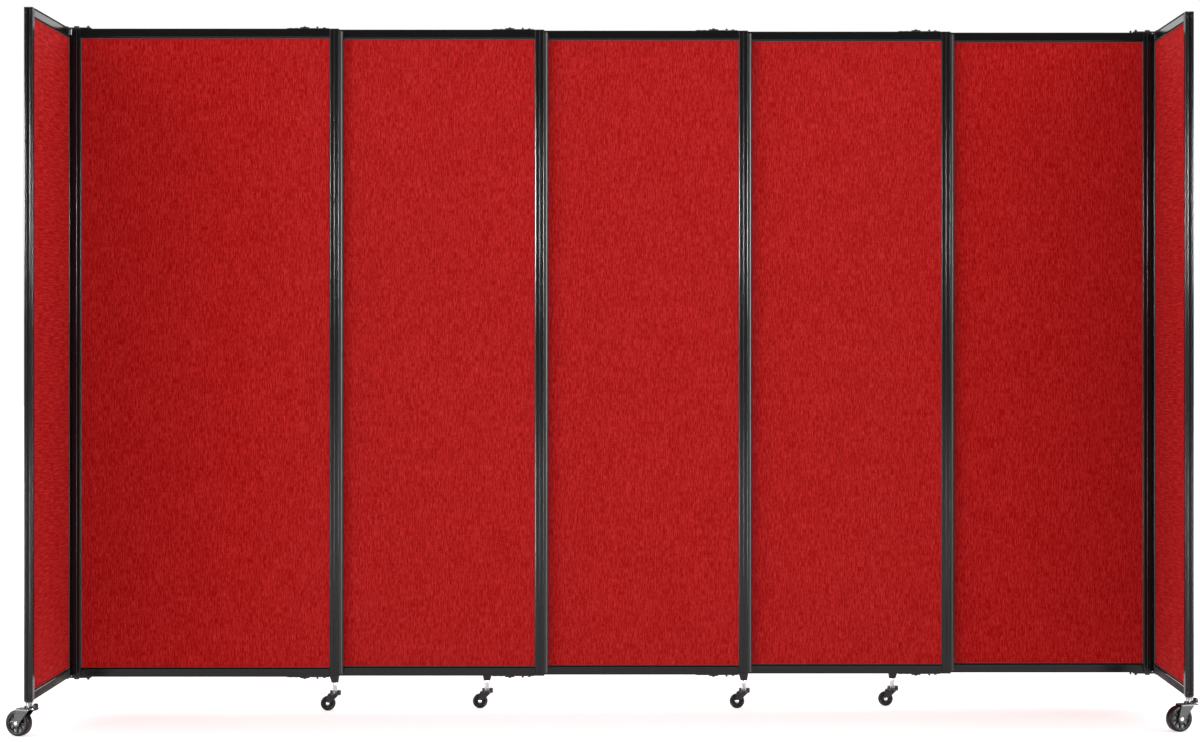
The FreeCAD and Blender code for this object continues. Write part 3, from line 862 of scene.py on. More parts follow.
@dataclass(frozen=True)
class BrightZinc(Finish):
    """Bright plated steel with turning marks and a cloudy tint."""

    level: float = 1.0

    def make(self, effects: Effects) -> bpy.types.Material:
        """Builds the material.

        Args:
            effects: The shared shader groups.

        Returns:
            The material.
        """
        nodes, shader, place = self.start(0.28, 0.5, 1.0)
        grain = nodes.group(effects.grain, {"Vector": place, "Scale": 420.0})
        rings = nodes.group(effects.lines, {"Vector": place, "Stretch": (60.0, 60.0, 2600.0)}).outputs["Lines"]
        dust = nodes.group(effects.dust, {"Vector": place, "Low": 0.0, "High": 0.05}).outputs["Mask"]
        blue, warm = (0.58, 0.60, 0.63), (0.76, 0.75, 0.71)
        tone = nodes.mix(grain.outputs["Drift"], colour(*(self.level * part for part in blue)),
                         colour(*(self.level * part for part in warm)))
        tone = nodes.mix(nodes.math("MULTIPLY", dust, 0.35), tone, grey(0.33 * self.level))
        nodes.join(tone, shader.inputs["Base Color"])
        nodes.join(nodes.span(rings, 0.3, 0.7, 0.22, 0.40), shader.inputs["Roughness"])
        return self.bumped(nodes, shader, rings, 0.15, 0.00006)


@dataclass(frozen=True)
class MouldedPart(Finish):
    """Moulded rubber or plastic with a fine skin, and dust low down."""

    level: float = 0.012
    roughness: float = 0.55
    specular: float = 0.4
    pimples: float = 1100.0
    dusty: float = 0.3

    def make(self, effects: Effects) -> bpy.types.Material:
        """Builds the material.

        Args:
            effects: The shared shader groups.

        Returns:
            The material.
        """
        nodes, shader, place = self.start(self.roughness, self.specular)
        grain = nodes.group(effects.grain, {"Vector": place, "Scale": self.pimples})
        dust = nodes.group(effects.dust, {"Vector": place, "Low": 0.0, "High": 0.035}).outputs["Mask"]
        wear = nodes.group(effects.wear, {"Vector": place, "Radius": 0.0008}).outputs["Mask"]
        tone = nodes.mix(grain.outputs["Drift"], grey(self.level * 0.75), grey(self.level * 1.3))
        tone = nodes.mix(nodes.math("MULTIPLY", wear, 0.3), tone, grey(self.level * 3.0))
        nodes.join(nodes.mix(nodes.math("MULTIPLY", dust, self.dusty), tone, colour(0.17, 0.16, 0.15)),
                   shader.inputs["Base Color"])
        nodes.join(nodes.span(grain.outputs["Drift"], 0.3, 0.7, self.roughness - 0.07, self.roughness + 0.08),
                   shader.inputs["Roughness"])
        return self.bumped(nodes, shader, grain.outputs["Pimples"], 0.2, 0.00012)


@dataclass(frozen=True)
class SealRubber(Finish):
    """Grey extruded rubber with faint lines along it."""

    level: float = 0.036
    specular: float = 0.32

    def make(self, effects: Effects) -> bpy.types.Material:
        """Builds the material.

        Args:
            effects: The shared shader groups.

        Returns:
            The material.
        """
        nodes, shader, place = self.start(0.34, self.specular)
        lines = nodes.group(effects.lines, {"Vector": place, "Stretch": BarAxis.UPRIGHT.value}).outputs["Lines"]
        grain = nodes.group(effects.grain, {"Vector": place, "Scale": 1300.0})
        tone = nodes.mix(lines, grey(self.level * 0.75), grey(self.level * 1.25))
        tone = nodes.mix(nodes.math("MULTIPLY", grain.outputs["Drift"], 0.4), tone, grey(self.level * 0.8))
        nodes.join(tone, shader.inputs["Base Color"])
        nodes.join(nodes.span(lines, 0.3, 0.7, 0.28, 0.40), shader.inputs["Roughness"])
        return self.bumped(nodes, shader, grain.outputs["Pimples"], 0.2, 0.0001)


class Palette:
    """Every material of the wall, made once."""

    def __init__(self) -> None:
        """Builds the shared effects and the materials."""
        effects = Effects()
        self.stile = AnodisedBar("anodised_stile", axis=BarAxis.UPRIGHT).make(effects)
        self.rail = AnodisedBar("anodised_rail", axis=BarAxis.LEVEL, cap_low=0.0, cap_high=3.0).make(effects)
        self.end_rail = AnodisedBar("anodised_end_rail", axis=BarAxis.DEEP, cap_low=0.0,
                                    cap_high=3.0).make(effects)
        self.cloth = WovenCloth("red_cloth").make(effects)
        # the end panels' cloth: the same weave with long, strong weft rows, which paint the shade of the rows seen
        # at a slant
        self.end_cloth_row_shade = WovenCloth("red_end_cloth", weft_run=0.11, row_tone_and_shade=2.6).make(effects)
        self.board = CoreBoard("core_board").make(effects)
        self.guide = PowderCoat("guide_coat").make(effects)
        self.bolt = PowderCoat("black_bolts", level=0.014, roughness=0.34, pimples=2600.0).make(effects)
        self.fork = PowderCoat("fork_coat", level=0.005, roughness=0.3, pimples=1900.0).make(effects)
        self.zinc = BrightZinc("bright_zinc").make(effects)
        self.stem = BrightZinc("stem_zinc", level=0.62).make(effects)
        self.tyre = MouldedPart("tyre_rubber", level=0.004, roughness=0.4, specular=0.2, dusty=0.06).make(effects)
        self.hub = MouldedPart("hub_plastic", level=0.012, roughness=0.3, specular=0.3, dusty=0.06).make(effects)
        self.pedal = MouldedPart("pedal_plastic", level=0.008, roughness=0.36, dusty=0.1).make(effects)
        self.seal = SealRubber("seal_rubber").make(effects)
        # a dull black that paints shade: the strips in the hinge gaps and the dark reflection along the end panels'
        # top edges
        self.strip = MouldedPart("painted_shade_strip", level=0.005, roughness=0.8, specular=0.1, dusty=0.0).make(effects)
        # a dull strip that paints shade on the end panels' bottom rails
        self.low_shade = MouldedPart("low_shade_strip", level=0.022, roughness=0.6, specular=0.12, dusty=0.1).make(effects)
        self.cord = SealRubber("cloth_cord", level=0.085, specular=0.1).make(effects)


# ---------------------------------------------------------------- panels

@dataclass
class Panel:
    """One panel: its bars and board get finishes, and its cloth sheets, thin trim and the strips of painted shade
    on an end panel's rails are made here.

    The cloth lies between inner and outer, measured from the panel's middle plane, and face is where the bars'
    faces are. Within held of its edge the cloth is flat, and over the next rise it comes up by crown.
    """

    name: str
    body: str
    width: float
    place: np.ndarray
    rail_axis: BarAxis
    number: int
    cloth_inset: float = 22.0
    inner: float = 8.05
    outer: float = 8.74
    crown: float = 0.7
    held: float = 7.0
    rise: float = 90.0
    wave_height: float = 0.12
    wave_counts: tuple[int, int] = (3, 5)
    edge_stations: tuple[float, ...] = (0.0, 7.0, 14.0, 24.0, 40.0, 62.0, 95.0)
    middle_start: float = 120.0
    middle_pitch: float = 40.0
    weave_shift: tuple[float, float] = (1900.0, 700.0)
    bar_face: float = 28.0
    cord_radius: float = 0.9
    face: float = 12.7
    ridge_width: float = 4.8
    ridge_height: float = 0.8
    ridge_sunk: float = 0.2
    ridge_foot: float = 0.6
    ridge_inset: float = 2.0
    # sizes of the end panels' dark strips, which paint shade on their rails
    top_shade_strip: float = 5.0
    low_shade_strip: float = 22.0
    strip_proud: float = 0.35
    strip_sunk: float = 0.4
    strip_inset: float = 0.3

    def dress(self, palette: Palette) -> None:
        """Gives the bars, the board and the seal their finishes.

        Args:
            palette: The materials.
        """
        rail = palette.rail if self.rail_axis is BarAxis.LEVEL else palette.end_rail
        finishes = {"_stiles": palette.stile, "_rails": rail, "_board": palette.board, "_edge_seal": palette.seal}
        for ending, material in finishes.items():
            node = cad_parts.get(self.name + ending)
            if node is not None:
                node.data.materials.clear()
                node.data.materials.append(material)

    def _spread(self, length: float) -> np.ndarray:
        """Stations across a sheet, closer together near its held edges.

        Args:
            length: The sheet's width or height.

        Returns:
            The distances from one edge.
        """
        edge = np.array(self.edge_stations)
        middle = np.linspace(self.middle_start, length - self.middle_start, int(length / self.middle_pitch))
        return np.concatenate([edge, middle, length - edge[::-1]])

    def _lift(self, at: np.ndarray, length: float) -> np.ndarray:
        """How far the cloth has risen from its held edge: a smooth step of the distance to that edge."""
        share = np.clip((np.minimum(at, length - at) - self.held) / self.rise, 0, 1)
        return share * share * (3 - 2 * share)

    def cloth(self, side: int, word: str, palette: Palette) -> bpy.types.Object:
        """One cloth sheet, which rounds up a little from its held edges.

        The outer face stands at the sheet's thickness plus the crown times the rise from the side edges and from
        the top and bottom edges. Slow waves, with whole turns over the sheet, make its tension uneven.

        Args:
            side: -1 for the front, 1 for the back.
            word: The side's name.
            palette: The materials.

        Returns:
            The sheet.
        """
        width = self.width - 2 * self.cloth_inset
        low, high = WALL.floor_gap + self.cloth_inset, WALL.frame_top - self.cloth_inset
        height = high - low
        across, up = np.meshgrid(self._spread(width), self._spread(height))
        rise = self._lift(across, width) * self._lift(up, height)
        turns_across, turns_up = self.wave_counts
        wave = (np.sin(across / width * turns_across * FULL_TURN + self.number)
                * np.sin(up / height * turns_up * FULL_TURN))
        outer = self.outer + rise * (self.crown + self.wave_height * wave)
        front = np.stack([across, side * outer, up], axis=-1)
        back = np.stack([across, np.full_like(across, side * self.inner), up], axis=-1)[:, ::-1]
        rings = np.concatenate([front, back], axis=1) + np.array([self.cloth_inset, 0.0, low])
        uv = (rings.reshape(-1, 3)[:, [0, 2]] + np.array(self.weave_shift) * (self.number, side)) * MM
        draft = Draft("%s_%s_cloth" % (self.name, word))
        draft.add(Skin(rings), self.place)
        finish = palette.cloth if self.rail_axis is BarAxis.LEVEL else palette.end_cloth_row_shade
        piece = draft.make([finish], self.body, [self.name + "_fabric"], "fabric", uv)
        return piece

    def cords(self, palette: Palette) -> bpy.types.Object:
        """The thin cord that holds the cloth's edge against the bars, on both faces.

        A circle is carried round the opening. At each corner it is drawn out along the diagonal, by the radius
        times its cosine both ways, so that the runs meet in a mitre.

        Args:
            palette: The materials.

        Returns:
            The piece with both cords.
        """
        radius, inset = self.cord_radius, self.bar_face + self.cord_radius
        low, high = WALL.floor_gap + inset, WALL.frame_top - inset
        corner = np.array([(inset, low), (self.width - inset, low), (self.width - inset, high), (inset, high)])
        outward = np.array([(-1.0, -1.0), (1.0, -1.0), (1.0, 1.0), (-1.0, 1.0)])
        angle = np.linspace(0, FULL_TURN, 12, endpoint=False)[None]
        across = corner[:, :1] + outward[:, :1] * radius * np.cos(angle)
        up = corner[:, 1:] + outward[:, 1:] * radius * np.cos(angle)
        draft = Draft(self.name + "_cloth_cords")
        for side in (-1, 1):
            depth = np.broadcast_to(side * (self.outer + radius) + radius * np.sin(angle), across.shape)
            draft.add(Skin(np.stack([across, depth, up], axis=-1), looped=True), self.place)
        return draft.make([palette.cord], self.body, [], "seal")

    def ridges(self, palette: Palette) -> bpy.types.Object:
        """The low ridge down the middle of each stile, on both faces.

        Its section is a flat arc: the height falls from the middle with the square of the distance.

        Args:
            palette: The materials.

        Returns:
            The piece with all four ridges.
        """
        draft = Draft(self.name + "_stile_ridges")
        half, foot = self.ridge_width / 2, self.face - self.ridge_foot
        share = np.linspace(-1.0, 1.0, 13)
        arc = np.column_stack([share * half, self.face - self.ridge_sunk + self.ridge_height * (1 - share**2)])
        section = np.concatenate([arc, [(half, foot), (-half, foot)]])
        ends = np.array([WALL.floor_gap + self.ridge_inset, WALL.frame_top - self.ridge_inset])[:, None, None]
        for middle in (self.bar_face / 2, self.width - self.bar_face / 2):
            for side in (-1.0, 1.0):
                plane = np.broadcast_to(section * (1.0, side) + (middle, 0.0), (2,) + section.shape)
                rings = np.concatenate([plane, np.broadcast_to(ends, plane.shape[:2] + (1,))], axis=-1)
                draft.add(Skin(rings), self.place)
        return draft.make([palette.stile], self.body, [], "frame")

    def rail_edges(self, palette: Palette) -> bpy.types.Object:
        """The dark, dull strips on both faces of an end panel, which paint shade: a thin one along its top edge, as
        a painted dark reflection there, and a wider one low down, as painted shade on the bottom rail.

        Args:
            palette: The materials.

        Returns:
            The piece with all four strips.
        """
        draft = Draft(self.name + "_rail_shade_strips")
        place = self.place @ ALONG_X
        top, low = WALL.frame_top - self.strip_inset, WALL.floor_gap + self.strip_inset
        # finish 0 is the painted dark reflection along the top edge, finish 1 the painted shade on the bottom rail
        for finish, bottom, height in ((0, top - self.top_shade_strip, self.top_shade_strip), (1, low, self.low_shade_strip)):
            for side in (-1, 1):
                near, far = sorted((side * (self.face - self.strip_sunk), side * (self.face + self.strip_proud)))
                section = Outline.box(near, far, bottom, bottom + height, 0.3)
                draft.add(prism(section, self.bar_face, self.width - self.bar_face, 0.1), place, finish)
        return draft.make([palette.strip, palette.low_shade], self.body, [], "frame")

    def build(self, palette: Palette) -> None:
        """Dresses the panel and makes its sheets and trim.

        Args:
            palette: The materials.
        """
        self.dress(palette)
        self.cloth(-1, "front", palette)
        self.cloth(1, "back", palette)
        self.cords(palette)
        self.ridges(palette)
        # an end panel's rails get strips of painted shade
        if self.rail_axis is BarAxis.DEEP:
            self.rail_edges(palette)


def socket_head(radius: float, height: float, socket: float) -> Skin:
    """A round screw head with a hexagon socket, standing on height 0.

    Args:
        radius: The head's radius.
        height: The head's height.
        socket: Half the distance across the socket's flats.

    Returns:
        The head, drawn from the socket's floor over the rim and down the side.
    """
    edge = min(0.7, height / 4)
    return lathe([
        (POLE, height * 0.45, 1), (socket * 0.96, height * 0.45, 1), (socket, height - 0.15, 1),
        (socket + 0.25, height, 0.7), (radius - edge, height), (radius - edge * 0.3, height - edge * 0.3),
        (radius, height - edge), (radius, 0.25), (radius - 0.2, 0.0),
    ])


def hexagon_head(flat: float, washer: float, height: float) -> Skin:
    """A hexagon bolt head on a round washer face, standing on height 0.

    Args:
        flat: Half the distance across the flats.
        washer: The washer face's radius.
        height: The head's height.

    Returns:
        The head, chamfered to a circle at its top.
    """
    return lathe([
        (POLE, height), (flat * 0.55, height), (flat * 0.96, height - 0.1, 0.35), (flat, height - 0.7, 1),
        (flat, 0.9, 1), (flat + 0.05, 0.85, 1), (washer, 0.8), (washer, 0.2), (washer - 0.2, 0.0),
    ])


@dataclass
class SlideGuides:
    """The guide brackets, their screws and the stop studs of one main panel.

    Sizes along X are measured from the panel's left edge, and those across from its middle plane.
    """

    number: int
    plate: float = 3.0
    lift: float = 0.4
    margin: float = 1.0
    step: float = 14.5
    blade_near: float = 20.35
    blade_far: float = 24.95
    blade_depth: float = 7.0
    track: float = 6.35
    right_start: float = 692.0
    right_end: float = 784.0
    left_start: float = 30.0
    left_end: float = 66.0
    hump_start: float = 696.0
    hump_length: float = 28.0
    hump_width: float = 10.0
    hump_height: float = 3.0
    stud_at: float = 750.0
    screw: tuple[float, float, float] = (4.4, 2.5, 2.1)
    right_screw_inset: float = 14.0
    left_screw_inset: float = 9.0

    def bracket(self, start: float, end: float, side: int) -> Skin:
        """A plate that steps over the next panel's rail, with its blade, carried along X.

        Args:
            start: Its first X.
            end: Its last X.
            side: 1 towards the back, -1 towards the front.

        Returns:
            The bracket.
        """
        top, far = WALL.frame_top, WALL.layer_pitch - self.margin
        section = Outline.rounded([
            (self.margin, top, 0.25), (self.step, top, 0.15), (self.step, top + self.lift, 0.15),
            (self.blade_near, top + self.lift, 0.4), (self.blade_near, top - self.blade_depth, 1.2),
            (self.blade_far, top - self.blade_depth, 1.2), (self.blade_far, top + self.lift, 0.4),
            (far, top + self.lift, 0.4), (far, top + self.plate, 1.1), (self.margin, top + self.plate, 0.8),
        ], steps=3)
        mirrored = np.diag([1.0, float(side), 1.0, 1.0])
        return prism(section, start, end, 0.12).placed(mirrored @ ALONG_X)

    def stud(self) -> Skin:
        """The stop stud: a collar, a neck and a rounded head."""
        return lathe([(POLE, 6.5), (1.9, 6.5), (2.9, 6.1), (3.4, 5.3), (3.4, 3.4), (3.0, 3.0), (3.0, 1.6),
                      (3.4, 1.2), (3.4, 0.0)], count=36)

    def build(self, palette: Palette) -> None:
        """Makes every bracket, screw and stud of the panel, at the top and the bottom.

        Args:
            palette: The materials.
        """
        top, seat = WALL.frame_top, WALL.frame_top + self.plate
        head = socket_head(*self.screw)
        parts = [(self.stud(), shift(self.stud_at, -self.track, top), 1)]
        if self.number < WALL.panels[-1]:
            hump = Outline.box(self.hump_start, self.hump_start + self.hump_length, self.margin,
                               self.margin + self.hump_width, 2.4)
            raised = seat + self.hump_height
            middle = self.hump_start + self.hump_length / 2
            parts += [
                (self.bracket(self.right_start, self.right_end, 1), np.eye(4), 0),
                (prism(hump, seat - 0.5, raised, 0.9), np.eye(4), 0),
                (head, shift(middle, self.track, raised), 1),
                (head, shift(self.right_end - self.right_screw_inset, self.track, seat), 1),
            ]
        if self.number > WALL.panels[0]:
            parts.append((self.bracket(self.left_start, self.left_end, -1), np.eye(4), 0))
            parts += [(head, shift(x, -self.track, seat), 1)
                      for x in (self.left_start + self.left_screw_inset, self.left_end - self.left_screw_inset)]
        name = "panel_%d" % self.number
        draft = Draft(name + "_slide_guides")
        for way in WALL.top_and_bottom():
            for skin, place, finish in parts:
                draft.add(skin, WALL.panel_place(self.number) @ way @ place, finish)
        draft.make([palette.guide, palette.bolt], name, [name + "_guides"], "guide")


@dataclass
class Hinge:
    """The pivot plates and bolts between an outer main panel and its end panel.

    Sizes along X are measured from the main panel's outer edge. Each head is given as the numbers of the function
    that draws it.
    """

    side: Side
    reach: float = 58.0
    half_width: float = 11.0
    lift: float = 0.6
    plate: float = 4.0
    relief: float = 2.25
    track: float = 6.35
    shank_radius: float = 3.95
    shank_depth: float = 1.4
    pivot_head: tuple[float, float, float] = (5.6, 6.5, 4.0)
    anchor_head: tuple[float, float, float] = (8.0, 4.5, 3.0)
    screw_head: tuple[float, float, float] = (4.0, 5.0, 2.0)
    screw_inset: float = 8.0
    # sizes of the strip that paints shade into the hinge gap
    strip_half: float = 6.0
    strip_depth: tuple[float, float] = (12.5, 15.2)
    strip_inset: float = 2.5
    open_top: float = 18.0

    def strip(self, palette: Palette) -> bpy.types.Object:
        """The dark strip on the end panel's hinge stile, which paints shade into the gap to the main panel.

        Its outer corners stay inside the pivot's clearance, so that it passes at every angle.

        Args:
            palette: The materials.

        Returns:
            The strip.
        """
        near, far = sorted(-self.side.value * depth for depth in self.strip_depth)
        section = Outline.box(-self.strip_half, self.strip_half, near, far, 0.8)
        draft = Draft(self.side.word + "_hinge_shade_strip")
        top = WALL.frame_top - (self.open_top if self.side is Side.LEFT else self.strip_inset)
        draft.add(prism(section, WALL.floor_gap + self.strip_inset, top, 0.4), WALL.hinge_place(self.side))
        return draft.make([palette.strip], self.side.word + "_end_panel", [], "seal")

    def build(self, palette: Palette) -> None:
        """Makes the plates and the bolts, at the top and the bottom, and the strip of painted shade between them.

        Args:
            palette: The materials.
        """
        number = WALL.outer_panel(self.side)
        place = WALL.panel_place(number)
        if self.side is Side.RIGHT:
            place = place @ shift(WALL.panel_width) @ np.diag([-1.0, 1.0, 1.0, 1.0])
        top, half, pivot = WALL.frame_top, self.half_width, WALL.pivot_offset
        seat = top + self.plate
        arm = Outline.rounded([(self.reach, -half, 2.5), (self.reach, half, 2.5), (-pivot - half, half, half - 0.1),
                               (-pivot - half, -half, half - 0.1)], steps=10)
        foot = Outline.box(-self.relief, self.reach - 0.2, 0.2 - half, half - 0.2, 1.5)
        shank = lathe([(POLE, seat), (self.shank_radius, seat), (self.shank_radius, top - self.shank_depth),
                       (POLE, top - self.shank_depth - 0.1)], count=36)
        plates = Draft(self.side.word + "_pivot_plates")
        bolts = Draft(self.side.word + "_pivot_bolts")
        for way in WALL.top_and_bottom():
            plates.add(prism(arm, top + self.lift, seat, 0.7), place @ way)
            plates.add(prism(foot, top, top + self.lift + 0.3, 0.1), place @ way)
            bolts.add(shank, place @ way @ shift(-pivot))
            bolts.add(hexagon_head(*self.pivot_head), place @ way @ shift(-pivot, 0.0, seat))
            bolts.add(socket_head(*self.anchor_head), place @ way @ shift(WALL.stem_inset, 0.0, seat))
            bolts.add(socket_head(*self.screw_head),
                      place @ way @ shift(self.reach - self.screw_inset, -self.track, seat))
        body = "panel_%d" % number
        # the strip of painted shade in the hinge gap
        self.strip(palette)
        plates.make([palette.guide], body, [self.side.word + "_hinge_plates"], "guide")
        bolts.make([palette.bolt], body, [self.side.word + "_hinge_bolts"], "guide")


# ---------------------------------------------------------------- casters

@dataclass(frozen=True)
class CasterModel:
    """The sizes of one caster, measured up from the floor."""

    wheel_radius: float
    wheel_width: float
    rim_radius: float
    trail: float
    bridge_bottom: float
    bridge_thickness: float
    crown_radius: float
    crown_top: float
    slot_width: float
    slot_depth: float
    socket_bottom: float
    shoulder_radius: float
    rivet_radius: float
    rivet_height: float
    axle_radius: float
    axle_head_radius: float
    axle_head_height: float
    boss_radius: float
    web_width: float
    tyre_round: float
    leg: float = 3.0
    side_gap: float = 1.0
    bore: float = 5.4
    pin_radius: float = 5.0
    bend_inside: float = 1.2
    bend_margin: float = 0.4
    leg_edge: float = 0.6
    ribs: int = 8

    @property
    def inside(self) -> float:
        """Half the clear width between the legs."""
        return self.wheel_width / 2 + self.side_gap

    @property
    def bridge_top(self) -> float:
        """The height of the bridge's upper face."""
        return self.bridge_bottom + self.bridge_thickness

    @property
    def bend(self) -> float:
        """The outer radius of the bend from the bridge into a leg."""
        return self.leg + self.bend_inside

    @property
    def flat_half(self) -> float:
        """Half the width of the bridge's flat part."""
        return self.inside + self.leg - self.bend - self.bend_margin


SMALL = CasterModel(
    wheel_radius=22.5, wheel_width=18.0, rim_radius=16.5, trail=21.0, bridge_bottom=47.5, bridge_thickness=4.0,
    crown_radius=18.5, crown_top=62.0, slot_width=13.0, slot_depth=9.0, socket_bottom=86.0, shoulder_radius=6.0,
    rivet_radius=7.0, rivet_height=2.5, axle_radius=3.0, axle_head_radius=5.0, axle_head_height=2.0,
    boss_radius=7.5, web_width=9.0, tyre_round=4.0)
LARGE = CasterModel(
    wheel_radius=38.0, wheel_width=28.0, rim_radius=28.5, trail=33.0, bridge_bottom=78.0, bridge_thickness=3.0,
    crown_radius=15.0, crown_top=88.0, slot_width=17.0, slot_depth=4.0, socket_bottom=99.0, shoulder_radius=9.0,
    rivet_radius=8.0, rivet_height=3.0, axle_radius=4.0, axle_head_radius=6.0, axle_head_height=2.5,
    boss_radius=11.0, web_width=14.0, tyre_round=7.0)


@dataclass
class Caster:
    """One swivel caster in its own frame: the swivel axis is Z and the wheel trails towards -X."""

    name: str
    model: CasterModel
    place: np.ndarray

    @property
    def axle_place(self) -> np.ndarray:
        """The wheel's middle, with Z turned along the axle."""
        return self.place @ shift(-self.model.trail, 0.0, self.model.wheel_radius) @ ALONG_Y

    def stem(self) -> Skin:
        """The stem from its riveted end up into the socket.

        Above the fork its radius is the shoulder's, with a groove about a third of the way up to the socket and a
        hexagon over the upper part.

        Returns:
            The stem, turned about the swivel axis.
        """
        m = self.model
        rivet, collar, high = m.bridge_bottom - 0.3, m.crown_top + 0.3, m.socket_bottom
        r, groove, pin, clear = m.shoulder_radius, m.shoulder_radius - 0.7, m.pin_radius, high - collar
        return lathe([
            (POLE, rivet - m.rivet_height), (m.rivet_radius * 0.6, rivet - m.rivet_height + 0.2),
            (m.rivet_radius * 0.95, rivet - m.rivet_height * 0.5), (m.rivet_radius, rivet - 0.3),
            (m.rivet_radius, rivet), (pin, rivet), (pin, collar), (r - 0.5, collar), (r, collar + 0.5),
            (r, collar + clear * 0.26), (groove, collar + clear * 0.28), (groove, collar + clear * 0.34),
            (r, collar + clear * 0.36), (r, collar + clear * 0.55), (r, collar + clear * 0.58, 1),
            (r, collar + clear * 0.92, 1), (r - 0.2, high - 0.2, 0.3), (r - 0.4, high - 0.05),
            (pin, high), (pin, high + 4.0), (POLE, high + 4.1),
        ])

    def leg(self, side: int) -> Skin:
        """One pressed side of the fork: a strip that leaves the bridge, bends down and narrows to the axle boss.

        Stations run along the strip. Down the leg both edges go straight from the bridge's width to the boss's;
        below the axle the half width is the boss radius times the cosine of the angle past it.

        Args:
            side: 1 towards +Y, -1 towards -Y.

        Returns:
            The strip, as rings of a rounded rectangle across it.
        """
        m = self.model
        bend, soft = m.bend, m.leg_edge
        outer = m.inside + m.leg
        quarter = np.linspace(0, math.pi / 2, 7)
        down = np.linspace(0, 1, 12)
        round_end = np.linspace(0, math.pi / 2 * 0.97, 8)[1:]
        bend_y, bend_z = outer - bend + bend * np.sin(quarter), m.bridge_top - bend + bend * np.cos(quarter)
        leg_z = (m.bridge_top - bend) + (m.wheel_radius - m.bridge_top + bend) * down[1:]
        end_z = m.wheel_radius - m.boss_radius * np.sin(round_end)
        upright = np.concatenate([leg_z, end_z])
        outside = np.concatenate([
            [(m.flat_half, m.bridge_top)], np.column_stack([bend_y, bend_z]),
            np.column_stack([np.full(len(upright), outer), upright]),
        ])
        normal = np.concatenate([[(0.0, 1.0)], np.column_stack([np.sin(quarter), np.cos(quarter)]),
                                 np.tile([1.0, 0.0], (len(upright), 1))])
        share = np.clip((m.bridge_top - outside[:, 1]) / (m.bridge_top - m.wheel_radius), 0, 1)
        past = np.concatenate([np.zeros(len(outside) - len(end_z)), round_end])
        x_low = (1 - share) * -m.trail + share * (-m.trail - m.boss_radius * np.cos(past))
        x_high = (1 - share) * (m.crown_radius - m.leg) + share * (-m.trail + m.boss_radius * np.cos(past))
        across = np.stack([x_low + soft, x_high - soft, x_high, x_high, x_high - soft, x_low + soft, x_low, x_low],
                          axis=1)
        deep = np.array([0.0, 0.0, soft, m.leg - soft, m.leg, m.leg, m.leg - soft, soft])
        plane = outside[:, None] - normal[:, None] * deep[None, :, None]
        return Skin(np.stack([across, side * plane[..., 0], plane[..., 1]], axis=-1))

    def lobe(self, side: int) -> Skin:
        """A raised lobe of the crown beside the stem.

        Args:
            side: 1 for the lobe towards +X, -1 for the smaller one towards the wheel.

        Returns:
            The lobe, with a rounded top.
        """
        m = self.model
        near, far = m.slot_width / 2, m.crown_radius - 0.1
        if side < 0:
            far = near + (far - near) * 0.72
        wide = m.crown_radius * (0.62 if side > 0 else 0.55)
        plan = Outline.rounded([(near, -wide, 1.6), (far - 2.5, -wide * 0.9, 2.4), (far, -wide * 0.35, 2.4),
                                (far, wide * 0.35, 2.4), (far - 2.5, wide * 0.9, 2.4), (near, wide, 1.6)], steps=4)
        base, edge = m.crown_top - m.slot_depth - 1.0, min(1.5, m.slot_depth * 0.4)
        return prism(plan, base, m.crown_top, edge, 4).placed(np.diag([side, 1.0, 1.0, 1.0]))

    def axle(self) -> Skin:
        """The axle with a domed head at both ends: one half's profile, and its mirror image.

        Returns:
            The axle, turned about its own length.
        """
        m = self.model
        seat, radius, dome = m.inside + m.leg, m.axle_head_radius, m.axle_head_height
        head = [(POLE, seat + dome), (radius * 0.5, seat + dome * 0.94), (radius * 0.85, seat + dome * 0.68),
                (radius, seat + dome * 0.25), (radius, seat), (m.axle_radius, seat)]
        return lathe(head + [(r, -height) for r, height in reversed(head)], count=36)

    def fork(self) -> Draft:
        """The whole swivelling fork: bridge, legs, crown and axle.

        Returns:
            The fork's skins, in which the bright metal has finish 1.
        """
        m = self.model
        draft = Draft(self.name + "_swivel_fork")
        plan = Outline.box(-m.trail, m.crown_radius - m.leg, -m.flat_half, m.flat_half, 1.0)
        draft.add(holed_prism(plan, m.bore, m.bridge_bottom, m.bridge_top, 0.2), self.place)
        crown, base = Outline.circle(m.crown_radius, 48), m.crown_top - m.slot_depth
        draft.add(holed_prism(crown, m.bore, m.bridge_bottom + 0.4, base, 0.6), self.place)
        for side in (-1, 1):
            draft.add(self.leg(side), self.place)
            draft.add(self.lobe(side), self.place)
        draft.add(self.axle(), self.axle_place, 1)
        return draft

    def tyre(self) -> Skin:
        """The tyre: a ring with round shoulders and a thin parting ridge, turned about the axle.

        Returns:
            The closed ring.
        """
        m = self.model
        half, shoulder = m.wheel_width / 2, m.tyre_round * 0.93
        ridge, tread = m.wheel_radius, m.wheel_radius - 0.15
        section = Outline.rounded([
            (m.rim_radius, -half + 0.6, 0.5), (m.rim_radius + 1.4, -half, 0.6), (tread, -half, shoulder),
            (tread, -0.35, 0.1), (ridge, -0.2, 0.05), (ridge, 0.2, 0.05), (tread, 0.35, 0.1),
            (tread, half, shoulder), (m.rim_radius + 1.4, half, 0.6), (m.rim_radius, half - 0.6, 0.5),
        ], steps=5)
        return lathe([tuple(point) for point in section.points], looped=True, count=72)

